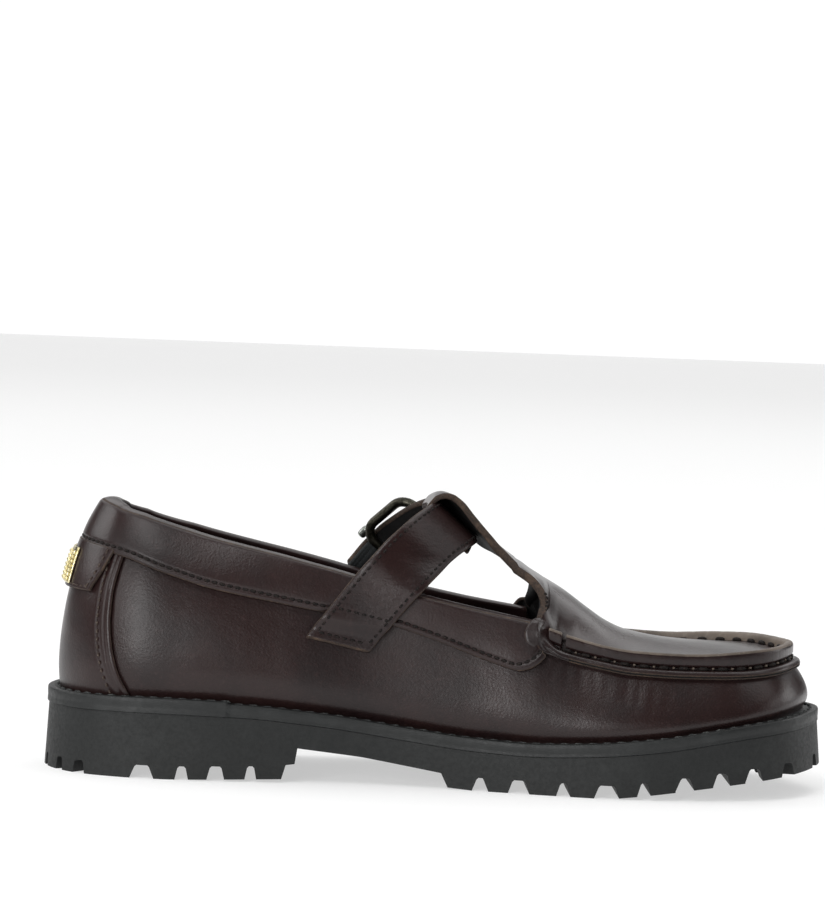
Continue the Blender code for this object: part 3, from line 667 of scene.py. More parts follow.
# Settings of the nodes that ease a range and of those that mix two colours
EASED = {"interpolation_type": "SMOOTHSTEP"}
COLOURS = {"data_type": "RGBA"}


class Paint:
    """A material under work: its node tree and its coordinates."""

    def __init__(self, name: str) -> None:
        """Start an empty material with Object coordinates, which are in metres.

        Args:
            name: the material's name.
        """
        self.material = bpy.data.materials.new(name)
        self.material.use_nodes = True
        self.tree = self.material.node_tree
        self.tree.nodes.clear()
        self.place = add_node(self.tree, "TexCoord").outputs["Object"]

    def add(self, kind: str, settings: dict | None = None,
            inputs: dict | None = None) -> NodeSocket | None:
        """Add a node to this material and give its first output in use."""
        node = add_node(self.tree, kind, settings, inputs)
        return next((socket for socket in node.outputs if socket.enabled), None)

    def blobs(self, size: float, detail: float, rough: float) -> dict:
        """Inputs of a texture whose blobs have a size in millimetres."""
        return {"Vector": self.place, "Scale": 1 / (size * MM), "Detail": detail, "Roughness": rough}

    def finish(self, inputs: dict) -> Material:
        """Close the material with its shader.

        Args:
            inputs: values or links of the shader's inputs.

        Returns:
            The material.
        """
        shader = self.add("BsdfPrincipled", None, inputs)
        self.add("OutputMaterial", None, {"Surface": shader})
        return self.material


@dataclass(frozen=True)
class Leather:
    """Smooth, well worn dyed leather: uneven dye, fine pores, soft folds and a low wax shine."""

    name: str
    base: str = "#261817"
    light: str = "#3a2827"
    dark: str = "#1b1010"
    grain: float = 0.75
    relief: float = 0.055
    fold_share: float = 1.4
    wrinkle: float = 0.0
    rough: float = 0.31
    level: float = 0.38
    shine: float = 0.0

    def make(self) -> Material:
        """Build the material.

        Returns:
            The material.
        """
        p = Paint(self.name)
        # Dye that took unevenly: clouds of a few centimetres and mottling of a millimetre or two
        clouds = p.add("TexNoise", None, p.blobs(22, 3.0, 0.5))
        mottle = p.add("TexNoise", None, p.blobs(1.6, 3.0, 0.6))
        deep = p.add("MapRange", EASED, {"Value": clouds, "From Min": 0.35, "From Max": 0.7})
        tone = p.add("Mix", COLOURS, {"Factor": deep, "A": self.base, "B": self.dark})
        spots = p.add("MapRange", EASED, {"Value": mottle, "From Min": 0.5, "From Max": 0.8, "To Max": 0.35})
        tone = p.add("Mix", COLOURS, {"Factor": spots, "A": tone, "B": self.light})
        # Real pores are 0.1 to 0.2 mm wide: they are drawn coarser, so that they show
        pores = p.add("TexNoise", None, p.blobs(self.grain, 1.0, 0.5))
        relief = {"Distance": self.relief * MM, "Strength": 1.0}
        normal = p.add("Bump", None, {**relief, "Height": pores})
        # Soft folds of 5 mm, as leather gets in wear
        folds = p.add("TexNoise", None, p.blobs(5.0, 2.0, 0.5))
        relief["Distance"] = self.relief * self.fold_share * MM
        normal = p.add("Bump", None, {**relief, "Height": folds, "Normal": normal})
        if self.wrinkle:
            # Fine wrinkles 1.3 mm high, drawn out to three times that on the level
            drawn = p.add("VectorMath", {"operation": "MULTIPLY"}, {0: p.place, 1: (0.3, 0.3, 1.0)})
            lines = p.add("TexNoise", None, {**p.blobs(1.3, 2.0, 0.5), "Vector": drawn})
            relief["Distance"] = self.wrinkle * MM
            normal = p.add("Bump", None, {**relief, "Height": lines, "Normal": normal})
        rough = p.add("MapRange", EASED, {"Value": clouds, "From Min": 0.3, "From Max": 0.7,
                                          "To Min": self.rough - 0.03, "To Max": self.rough + 0.05})
        return p.finish({"Base Color": tone, "Roughness": rough, "Normal": normal, "IOR": 1.5,
                         "Specular IOR Level": self.level, "Coat Weight": self.shine,
                         "Coat Roughness": 0.3, "Coat Normal": normal})


@dataclass(frozen=True)
class RawEdge:
    """Cut leather edge: matt brown fibres in thin layers."""

    name: str
    base: str = "#413126"
    light: str = "#5e4b3c"
    dark: str = "#241a14"

    def make(self) -> Material:
        """Build the material.

        Returns:
            The material.
        """
        p = Paint(self.name)
        # Bundles of fibres are 0.05 to 0.1 mm thick: they are drawn at 0.7 mm, so that they show
        fibres = p.add("TexNoise", None, p.blobs(0.7, 5.0, 0.7))
        clouds = p.add("TexNoise", None, p.blobs(4.0, 3.0, 0.6))
        bare = p.add("MapRange", EASED, {"Value": fibres, "From Min": 0.35, "From Max": 0.7})
        tone = p.add("Mix", COLOURS, {"Factor": bare, "A": self.dark, "B": self.base})
        spots = p.add("MapRange", EASED, {"Value": clouds, "From Min": 0.5, "From Max": 0.75, "To Max": 0.6})
        tone = p.add("Mix", COLOURS, {"Factor": spots, "A": tone, "B": self.light})
        normal = p.add("Bump", None, {"Height": fibres, "Distance": 0.18 * MM, "Strength": 1.0})
        return p.finish({"Base Color": tone, "Roughness": 0.82, "Normal": normal})


@dataclass(frozen=True)
class Rubber:
    """Black sole rubber: slightly greyed by wear, fine moulded texture, soft sheen."""

    name: str
    base: str = "#141616"
    worn: str = "#212323"
    rough: float = 0.58

    def make(self) -> Material:
        """Build the material.

        Returns:
            The material.
        """
        p = Paint(self.name)
        # Greyed patches as wide as a lug, and a moulded grain of about 0.3 mm that is drawn at 1.4 mm to show
        clouds = p.add("TexNoise", None, p.blobs(9.0, 5.0, 0.65))
        grain = p.add("TexNoise", None, p.blobs(1.4, 4.0, 0.7))
        grey = p.add("MapRange", EASED, {"Value": clouds, "From Min": 0.45, "From Max": 0.75, "To Max": 0.7})
        tone = p.add("Mix", COLOURS, {"Factor": grey, "A": self.base, "B": self.worn})
        normal = p.add("Bump", None, {"Height": grain, "Distance": 0.05 * MM, "Strength": 1.0})
        rough = p.add("MapRange", EASED, {"Value": grain, "From Min": 0.3, "From Max": 0.7,
                                          "To Min": self.rough - 0.08, "To Max": self.rough + 0.1})
        return p.finish({"Base Color": tone, "Roughness": rough, "Normal": normal, "IOR": 1.52,
                         "Specular IOR Level": 0.4})


@dataclass(frozen=True)
class Thread:
    """Waxed sewing thread: twisted fibres, dark with hardly any shine."""

    name: str
    base: str = "#0f0b0a"
    light: str = "#2a211d"

    def make(self) -> Material:
        """Build the material.

        Returns:
            The material.
        """
        p = Paint(self.name)
        # Fibres are a few hundredths of a millimetre thick: they are drawn at 0.5 mm, so that they show
        fuzz = p.add("TexNoise", None, p.blobs(0.5, 2.0, 0.5))
        waxed = p.add("MapRange", EASED, {"Value": fuzz, "From Min": 0.45, "From Max": 0.7})
        tone = p.add("Mix", COLOURS, {"Factor": waxed, "A": self.base, "B": self.light})
        normal = p.add("Bump", None, {"Height": fuzz, "Distance": 0.08 * MM, "Strength": 1.0})
        return p.finish({"Base Color": tone, "Roughness": 0.75, "Specular IOR Level": 0.25,
                         "Normal": normal})


@dataclass(frozen=True)
class Elastic:
    """Ribbed elastic webbing: matt black cords side by side."""

    name: str
    base: str = "#0c1010"
    light: str = "#23282a"

    def make(self) -> Material:
        """Build the material.

        Returns:
            The material.
        """
        p = Paint(self.name)
        # Yarns are 0.1 to 0.2 mm thick: they are drawn at 0.35 mm, so that they show on the ribs
        fuzz = p.add("TexNoise", None, p.blobs(0.35, 3.0, 0.6))
        fluff = p.add("MapRange", EASED, {"Value": fuzz, "From Min": 0.4, "From Max": 0.7})
        tone = p.add("Mix", COLOURS, {"Factor": fluff, "A": self.base, "B": self.light})
        normal = p.add("Bump", None, {"Height": fuzz, "Distance": 0.1 * MM, "Strength": 1.0})
        return p.finish({"Base Color": tone, "Roughness": 0.85, "Normal": normal})


@dataclass(frozen=True)
class Metal:
    """Cast and plated metal, dulled by handling."""

    name: str
    base: str
    dark: str
    rough: float = 0.35

    def make(self) -> Material:
        """Build the material.

        Returns:
            The material.
        """
        p = Paint(self.name)
        # Patches of tarnish and wear of 2.5 mm, about as wide as the wire
        clouds = p.add("TexNoise", None, p.blobs(2.5, 4.0, 0.6))
        dull = p.add("MapRange", EASED, {"Value": clouds, "From Min": 0.35, "From Max": 0.7})
        tone = p.add("Mix", COLOURS, {"Factor": dull, "A": self.base, "B": self.dark})
        rough = p.add("MapRange", EASED, {"Value": clouds, "From Min": 0.3, "From Max": 0.7,
                                          "To Min": self.rough - 0.08, "To Max": self.rough + 0.12})
        normal = p.add("Bump", None, {"Height": clouds, "Distance": 0.05 * MM, "Strength": 1.0})
        return p.finish({"Base Color": tone, "Roughness": rough, "Metallic": 1.0, "Normal": normal})


class Finishes:
    """All the materials of the shoe."""

    def __init__(self) -> None:
        """Make each material once."""
        self.upper = Leather("burgundy_leather").make()
        self.collar = Leather("burgundy_collar_leather", base="#281a19", rough=0.33).make()
        self.strap = Leather("burgundy_strap_leather", base="#261817", wrinkle=0.1).make()
        # The vamp's base is a little lighter than the upper's as painted sheen on the apron and T-bar; its
        # coat is a real shine
        self.vamp = Leather("burgundy_vamp_leather_painted_sheen", base="#2c1f1e", rough=0.3, shine=0.3).make()
        # Pale ridge leather: the ridge's worn top, partly a painted highlight along it, and painted glints on
        # the pinched bits in the groove
        self.worn = Leather("worn_ridge_leather_painted_highlight", base="#685d53", light="#8d8275", dark="#41372f",
                            rough=0.5).make()
        self.lining = Leather("dark_lining_leather", base="#1f1613", light="#33261f", dark="#140e0c",
                              rough=0.6, shine=0.05).make()
        # Near-black backing: the back of the leather, and partly painted shade under the T-bar and the strap
        # and between the lip's layers
        self.backing_and_shade = Leather("black_backing_leather_painted_shade", base="#0e0d0d", light="#1d1a18", dark="#080808",
                               rough=0.7, shine=0.0).make()
        self.footbed = Leather("footbed_leather", base="#2d211b", light="#4a382c", dark="#1d1512",
                               rough=0.6, shine=0.05).make()
        self.edge = RawEdge("raw_leather_edge").make()
        self.rubber = Rubber("sole_rubber").make()
        self.welt = Rubber("welt_rubber", base="#1a1c1c", worn="#2b2d2d", rough=0.5).make()
        self.thread = Thread("dark_thread").make()
        # Paler thread for the counter and the tab: a painted highlight of the stitches' sheen
        self.sheen_painted_thread = Thread("pale_thread_painted_sheen", base="#3b312c", light="#5f544c").make()
        self.welt_thread = Thread("welt_thread", base="#2c2e2e", light="#5a5c5a").make()
        self.elastic = Elastic("elastic_webbing").make()
        self.frame_metal = Metal("antique_nickel", "#4a4840", "#24231d", 0.38).make()
        self.prong_metal = Metal("worn_nickel", "#9a9d98", "#6f726c", 0.3).make()
        self.brass = Metal("pale_brass", "#e8deb6", "#c9bb86", 0.28).make()


# Meshes

def new_object(name: str, points: ndarray, faces: Iterable[Sequence[int]],
               materials: Sequence[Material], indices: ndarray | None = None,
               angle: float = 50.0) -> Object:
    """A smooth-shaded mesh object.

    Args:
        name: the piece's name.
        points: points in millimetres.
        faces: corner numbers of each face.
        materials: the piece's materials.
        indices: which material each face has.
        angle: edges sharper than this many degrees stay sharp.

    Returns:
        The object, merged where points fall together and with its faces pointing out.
    """
    mesh = bpy.data.meshes.new(name)
    mesh.from_pydata((points * MM).tolist(), [], [list(map(int, f)) for f in faces])
    for made_of in materials:
        mesh.materials.append(made_of)
    if indices is not None:
        mesh.polygons.foreach_set("material_index", np.asarray(indices, np.int32))
    work = bmesh.new()
    work.from_mesh(mesh)
    bmesh.ops.remove_doubles(work, verts=work.verts, dist=1e-6)
    bmesh.ops.recalc_face_normals(work, faces=work.faces)
    work.to_mesh(mesh)
    work.free()
    mesh.shade_smooth()
    mesh.set_sharp_from_angle(angle=math.radians(angle))
    thing = bpy.data.objects.new(name, mesh)
    bpy.context.collection.objects.link(thing)
    return thing


def grid_faces(rows: int, columns: int, close_rows: bool = False, close_columns: bool = False) -> ndarray:
    """Corner numbers of the faces of a grid of points stored row by row.

    Args:
        rows: number of rows.
        columns: number of columns.
        close_rows: whether the last row meets the first.
        close_columns: whether the last column meets the first.

    Returns:
        Four corner numbers for each face.
    """
    i = np.arange(rows if close_rows else rows - 1)[:, None]
    j = np.arange(columns if close_columns else columns - 1)[None, :]
    a = i * columns + j
    b = i * columns + (j + 1) % columns
    c = (i + 1) % rows * columns + (j + 1) % columns
    d = (i + 1) % rows * columns + j
    return np.stack([a, b, c, d], -1).reshape(-1, 4)


def grid_normals(grid: ndarray, closed: bool = False) -> ndarray:
    """Unit normals of a grid; closed where its rows run round.

    Args:
        grid: its points.
        closed: whether its rows run round.

    Returns:
        A normal for each point.
    """
    if closed:
        padded = np.concatenate([grid[-1:], grid, grid[:1]])
        down = padded[2:] - padded[:-2]
    else:
        down = np.gradient(grid, axis=0)
    return unit(np.cross(down, np.gradient(grid, axis=1)))


def calm(normals: ndarray, rounds: int) -> ndarray:
    """Normals of a grid, evened out over their neighbours.

    Args:
        normals: its normals.
        rounds: how often.

    Returns:
        The new normals.
    """
    for _ in range(rounds):
        for axis in (0, 1):
            wide = np.concatenate([normals.take([0], axis), normals, normals.take([-1], axis)], axis)
            count = normals.shape[axis]
            normals = unit(wide.take(range(count), axis) + 2 * normals + wide.take(range(2, count + 2), axis))
    return normals


@dataclass
class Sheet:
    """A piece of leather or web: a grid of outer points, a thickness and a rounded cut edge."""

    grid: ndarray
    thick: float | ndarray
    closed: bool = False
    flip: bool = False
    bulge: float = 0.6
    # Columns of the outer face given the edge material, as a painted highlight line
    highlight_stripe: tuple[int, int] = (0, 0)
    normals: ndarray | None = None
    EDGE_TURNS = (25, 60, 90, 120, 155)

    def build(self, name: str, outer: Material, inner: Material,
              edge: Material) -> Object:
        """Make the closed piece with its outer, inner and edge materials.

        Args:
            name: the piece's name.
            outer: material of its face.
            inner: material of its back.
            edge: material of its cut edge.

        Returns:
            The piece.
        """
        grid = self.grid
        normal = grid_normals(grid, self.closed) * (-1 if self.flip else 1)
        if self.normals is not None:
            normal = self.normals
        thick = np.broadcast_to(np.asarray(self.thick, float), grid.shape[:2])[..., None]
        middle = grid - normal * thick / 2
        turns = np.radians(self.EDGE_TURNS)
        sides = []
        for k, toward in ((-1, grid[:, -1] - grid[:, -2]), (0, grid[:, 0] - grid[:, 1])):
            away = unit(toward)[:, None] * self.bulge
            arc = normal[:, k, None] * np.cos(turns)[:, None] + away * np.sin(turns)[:, None]
            sides.append(middle[:, k, None] + arc * thick[:, k, None] / 2)
        rings = np.concatenate([grid, sides[0], (grid - normal * thick)[:, ::-1], sides[1][:, ::-1]], 1)
        columns = grid.shape[1]
        kinds = np.full(rings.shape[1], Layer.OUTER, int)
        kinds[columns - 1:columns + len(turns)] = Layer.EDGE
        kinds[columns + len(turns):2 * columns + len(turns) - 1] = Layer.INNER
        kinds[2 * columns + len(turns) - 1:] = Layer.EDGE
        # The highlight stripe's columns take the edge material: a painted highlight line
        kinds[slice(*self.highlight_stripe)] = Layer.EDGE
        rows = list(rings)
        bands = [kinds] * (len(rings) - 1 + self.closed)
        if not self.closed:
            for end, (a, b) in enumerate(((0, 1), (-1, -2))):
                away = unit(rings[a] - rings[b]) * self.bulge
                centre = self.as_ring(middle[a], len(turns))
                half = rings[a] - centre
                thickness = self.as_ring(thick[a], len(turns))
                caps = [centre + half * math.cos(turn) + away * thickness / 2 * math.sin(turn)
                        for turn in np.radians((30, 60, 90))]
                cap_bands = [np.full_like(kinds, Layer.EDGE)] * len(caps)
                if end:
                    rows, bands = rows + caps, bands + cap_bands
                else:
                    rows, bands = caps[::-1] + rows, cap_bands + bands
        points = np.array(rows)
        faces = grid_faces(len(points), points.shape[1], self.closed, True)
        return new_object(name, points.reshape(-1, 3), faces, (outer, inner, edge),
                          np.array(bands).reshape(-1))

    def as_ring(self, row: ndarray, turns: int) -> ndarray:
        """A row's values, laid out like the ring round it."""
        return np.concatenate([row, np.repeat(row[-1:], turns, 0), row[::-1], np.repeat(row[:1], turns, 0)])


def sweep(name: str, rings: ndarray, materials: Sequence[Material],
          kinds: ndarray | None = None, closed: bool = False, angle: float = 50.0) -> Object:
    """A closed bar through rings of points, with flat ends unless it runs round.

    Args:
        name: the piece's name.
        rings: rows of points.
        materials: its materials.
        kinds: material number by place in a ring.
        closed: whether it runs round.
        angle: edges sharper than this many degrees stay sharp.

    Returns:
        The piece.
    """
    rows, columns = rings.shape[:2]
    faces = grid_faces(rows, columns, closed, True).tolist()
    bands = list(np.tile(kinds if kinds is not None else np.zeros(columns, int), rows - 1 + closed))
    if not closed:
        faces += [list(range(columns)), [(rows - 1) * columns + j for j in range(columns)]]
        bands += [bands[0], bands[0]]
    return new_object(name, rings.reshape(-1, 3), faces, materials, np.array(bands), angle)


@dataclass(frozen=True)
class Places:
    """Places of small things on a surface: their centres, directions and surface normals."""

    centre: ndarray
    along: ndarray
    normal: ndarray

    @staticmethod
    def march(path: ndarray, normal: ndarray, pitch: float, start: float = 0.5) -> "Places":
        """Even steps along a path.

        Args:
            path: points of the line, close together.
            normal: surface normals at these points.
            pitch: length of a step.
            start: share of a step before the first place.

        Returns:
            The places.
        """
        run = np.concatenate([[0], np.cumsum(np.linalg.norm(np.diff(path, axis=0), axis=1))])
        stops = np.arange(start * pitch, run[-1], pitch)
        centre, along, up = (along_line(stops, run, v) for v in (path, np.gradient(path, axis=0), normal))
        return Places(centre, unit(along), unit(up))

    def joined(self, *others: "Places") -> "Places":
        """These places with those of others."""
        every = [(p.centre, p.along, p.normal) for p in (self, *others)]
        return Places(*(np.concatenate(parts) for parts in zip(*every)))


@dataclass(frozen=True)
class Stitch:
    """One stitch lying on a surface: a short rounded length of thread that dips into its holes."""

    length: float
    radius: float
    sink: float = 0.0
    STEPS = ((-0.5, 0.30, 1.0), (-0.46, 0.75, 0.6), (-0.3, 0.98, 0.12), (0.0, 1.0, 0.0),
             (0.3, 0.98, 0.12), (0.46, 0.75, 0.6), (0.5, 0.30, 1.0))
    END_DIP = 0.9
    SIDES = 8

    def lay(self, name: str, places: Places, made_of: Material) -> Object:
        """Lay one stitch at each place and join them into one mesh.

        Args:
            name: the piece's name.
            places: where the stitches lie.
            made_of: their material.

        Returns:
            The piece.
        """
        normal = places.normal
        along = unit(places.along - normal * (places.along * normal).sum(-1, keepdims=True))
        across = np.cross(normal, along)
        angles = 2 * math.pi * np.arange(self.SIDES) / self.SIDES
        points = []
        for at, size, dip in self.STEPS:
            sunk = self.sink + dip * self.radius * self.END_DIP
            centre = places.centre + along * at * self.length - normal * sunk
            for angle in angles:
                spoke = across * math.cos(angle) + normal * math.sin(angle)
                points.append(centre + spoke * self.radius * size)
        block = np.stack(points, 1)
        ring = grid_faces(len(self.STEPS), self.SIDES, False, True)
        corners = len(self.STEPS) * self.SIDES
        ends = [range(self.SIDES), range(corners - self.SIDES, corners)]
        faces = []
        for k in range(len(places.centre)):
            shift = k * corners
            faces += (ring + shift).tolist()
            faces += [[c + shift for c in end] for end in ends]
        return new_object(name, block.reshape(-1, 3), faces, (made_of,), None, 60)


def place_piece(thing: Object, slot: str, *nodes: str) -> Object:
    """Let a piece ride on the shoe and stand for its nodes, which are hidden.

    Args:
        thing: the piece.
        slot: not used.
        nodes: names of the CAD nodes it stands for.

    Returns:
        The piece.
    """
    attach(thing, "root")
    if nodes:
        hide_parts(*nodes)
    return thing


# Sub-assemblies

@dataclass
class Sole:
    """Lugged rubber sole."""

    finishes: Finishes
    band: float = 4.4
    flare_toe: float = 2.1
    flare_heel: float = 0.7
    lug_depth: float = 4.5
    bevel: float = 0.6
    overshoot: float = 6.0
    channel: float = 4.0
    columns: int = 150
    levels: int = 7
    inner_gap: float = 0.25
    top_gap: float = 0.2
    cut_reach: float = 80.0
    sharp: float = 30.0

    def ground(self, x: float) -> float:
        """Height of the tread's under side, over the heel's rise and the toe spring."""
        xs, zs = zip(ARCH[1], ARCH[2], (-53.0, 0.0), *TOE_SPRING)
        return float(np.interp(x, xs, zs))

    def flare(self, x: ndarray) -> ndarray:
        """How far the foot stands out beyond the rim."""
        return self.flare_toe * smooth((x - 95) / 38) + self.flare_heel * smooth((-x - 110) / 24)

    def block(self) -> Object:
        """The uncut block under the outline.

        Returns:
            The block.
        """
        t = np.linspace(0, 1, self.columns)
        loops = []
        for share in np.linspace(0, 1, self.levels):
            loop = []
            for side, places in both_sides(t):
                point, normal = LAST.at(side, places)
                x = point[:, 0]
                top = RIM.read("top", x) - self.band - self.top_gap
                out = self.flare(x) * (1 - share) - self.inner_gap * share
                loop.append(beside(point, normal, out, top * share))
            loops.append(np.concatenate(loop))
        rings = np.array(loops)
        around = rings.shape[1]
        faces = grid_faces(self.levels, around, False, True).tolist()
        for first in (0, (self.levels - 1) * around):
            for k in range(self.columns - 1):
                across = [first + (around - k - j) % around for j in (1, 0)]
                faces.append([first + k, first + k + 1, *across])
        faces = [[v for i, v in enumerate(f) if v != f[i - 1]] for f in faces]
        return new_object("outsole_rubber", rings.reshape(-1, 3), [f for f in faces if len(f) > 2],
                          (self.finishes.rubber,), None, self.sharp)

    def prism(self, section: Sequence[tuple[float, float]], start: float, end: float,
              origin: Sequence[float] = (0.0, 0.0, 0.0), ahead: Sequence[float] = (1.0, 0.0),
              aside: Sequence[float] = (0.0, 1.0)) -> Object:
        """A closed cutter between two copies of an outline.

        Args:
            section: the outline, as places ahead and up.
            start: where it starts along aside.
            end: where it ends.
            origin: zero point of the outline.
            ahead: the outline's direction in plan.
            aside: the cutter's direction in plan.

        Returns:
            The cutter.
        """
        x, y, base = origin
        points = np.array([(x + ahead[0] * a + aside[0] * run, y + ahead[1] * a + aside[1] * run, base + b)
                           for run in (start, end) for a, b in section])
        n = len(section)
        faces = [list(range(n)), list(range(2 * n - 1, n - 1, -1))]
        faces += [[i, (i + 1) % n, n + (i + 1) % n, n + i] for i in range(n)]
        return new_object("cutter", points, faces, ())

    def cutters(self) -> list[list[Object]]:
        """Cutters in the order of their cuts: arch, toe spring, lug gaps, channels.

        Returns:
            A list for each cut.
        """
        low = ARCH[0][1]
        spring = [*TOE_SPRING, (TOE_SPRING[-1][0], low), (TOE_SPRING[0][0], low)]
        right_across = -self.cut_reach, self.cut_reach
        groups = [[self.prism(outline, *right_across)] for outline in (ARCH, spring)]
        gaps = []
        for x, foot, roof, reach in LUG_GAPS.rows:
            base = self.ground(x)
            depth, bevel = self.lug_depth, self.bevel
            half_foot, half_roof = foot / 2, roof / 2
            section = [(-half_foot, low), (half_foot, low), (half_foot, 0.0), (half_roof, depth - bevel),
                       (half_roof - bevel, depth), (bevel - half_roof, depth), (-half_roof, depth - bevel),
                       (-half_foot, 0.0)]
            if not reach:
                gaps.append(self.prism(section, *right_across, (x, 0.0, base)))
                continue
            for side in Side:
                point, normal = LAST.at(side, LAST.place_of(side, x))
                ahead = -normal[1], normal[0]
                gaps.append(self.prism(section, -reach, self.overshoot, (*point, base), ahead, normal))
        groups.append(gaps)
        channels = []
        for y, start, end in CHANNELS.rows:
            bends = [x for x, _ in (ARCH[1], *TOE_SPRING) if start < x < end]
            roof = [(x, self.ground(x) + self.lug_depth) for x in (start, *bends, end)]
            section = [(start, low), *roof, (end, low)]
            half = self.channel / 2
            channels.append(self.prism(section, -half, half, (0.0, y, 0.0)))
        groups.append(channels)
        return groups

    def build(self) -> list[Object]:
        """Cut the sole and shade it, with sharp edges on its lugs.

        Returns:
            The piece.
        """
        sole = self.block()
        for group in self.cutters():
            for cutter in group:
                cut = sole.modifiers.new("cut", "BOOLEAN")
                cut.operation = "DIFFERENCE"
                cut.solver = "EXACT"
                cut.object = cutter
            self.apply(sole)
            for cutter in group:
                bpy.data.objects.remove(cutter)
        sole.data.shade_smooth()
        sole.data.set_sharp_from_angle(angle=math.radians(self.sharp))
        return [place_piece(sole, "outsole_rubber", "outsole")]

    def apply(self, thing: Object) -> None:
        """Turn an object's modifiers into its mesh.

        Args:
            thing: the object.
        """
        graph = bpy.context.evaluated_depsgraph_get()
        mesh = bpy.data.meshes.new_from_object(thing.evaluated_get(graph))
        thing.modifiers.clear()
        thing.data = mesh


@dataclass
class Welt:
    """Stitched rubber rim on top of the sole, a little higher and prouder round the heel."""

    finishes: Finishes
    height: float = 4.4
    depth: float = 11.0
    joint_x: float = -72.0
    rise: float = 0.8
    step: float = 0.7
    heel_out: float = 0.45
    columns: int = 420
    pitch: float = 4.9
    STITCH = Stitch(3.7, 0.55, -0.1)

    def build(self) -> list[Object]:
        """Sweep the rim round the outline and lay its stitches.

        Returns:
            The pieces.
        """
        t = np.linspace(0, 1, self.columns)
        rows, lines, normals = [], [], []
        for side, places in both_sides(t):
            point, normal = LAST.at(side, places)
            x = point[:, 0]
            heel = self.rise * smooth((self.joint_x - x) / self.step)
            top = RIM.read("top", x) + heel
            width = LAST.welt_width(x)
            # Section of the rim from its inner top over the stitched groove and the outer face to the foot
            profile = ((-self.depth, -0.1), (-width - 1.0, -0.1), (-width + 0.3, -0.15), (-width + 0.9, -0.5),
                       (-width * 0.5 - 0.5, -0.55), (-width * 0.5 + 0.4, -0.2), (-1.5, 0.0), (-0.7, -0.02),
                       (-0.25, -0.22), (-0.02, -0.7), (0.0, -1.6), (-0.02, -2.9), (-0.12, -3.3),
                       (-0.02, -3.7), (0.0, -self.height), (-self.depth, -self.height))
            ring = []
            for out, z in profile:
                prouder = self.heel_out * heel * (out > -2)
                up = top + z - (heel if z == -self.height else 0)
                ring.append(beside(point, normal, out + prouder, up))
            rows.append(np.stack(ring, 1))
            lines.append(beside(point, normal, -(width * 0.5 + 0.1), top - 0.35))
            normals.append(np.broadcast_to((0.0, 0.0, 1.0), lines[-1].shape))
        rim = sweep("welt_rim", np.concatenate(rows), (self.finishes.welt,), closed=True, angle=40)
        place_piece(rim, "welt_rubber", "welt")
        line, up = np.concatenate(lines), np.concatenate(normals)
        places = Places.march(np.vstack([line, line[:1]]), np.vstack([up, up[:1]]), self.pitch)
        thread = self.STITCH.lay("welt_stitches", places, self.finishes.welt_thread)
        return [rim, place_piece(thread, "welt_rubber")]


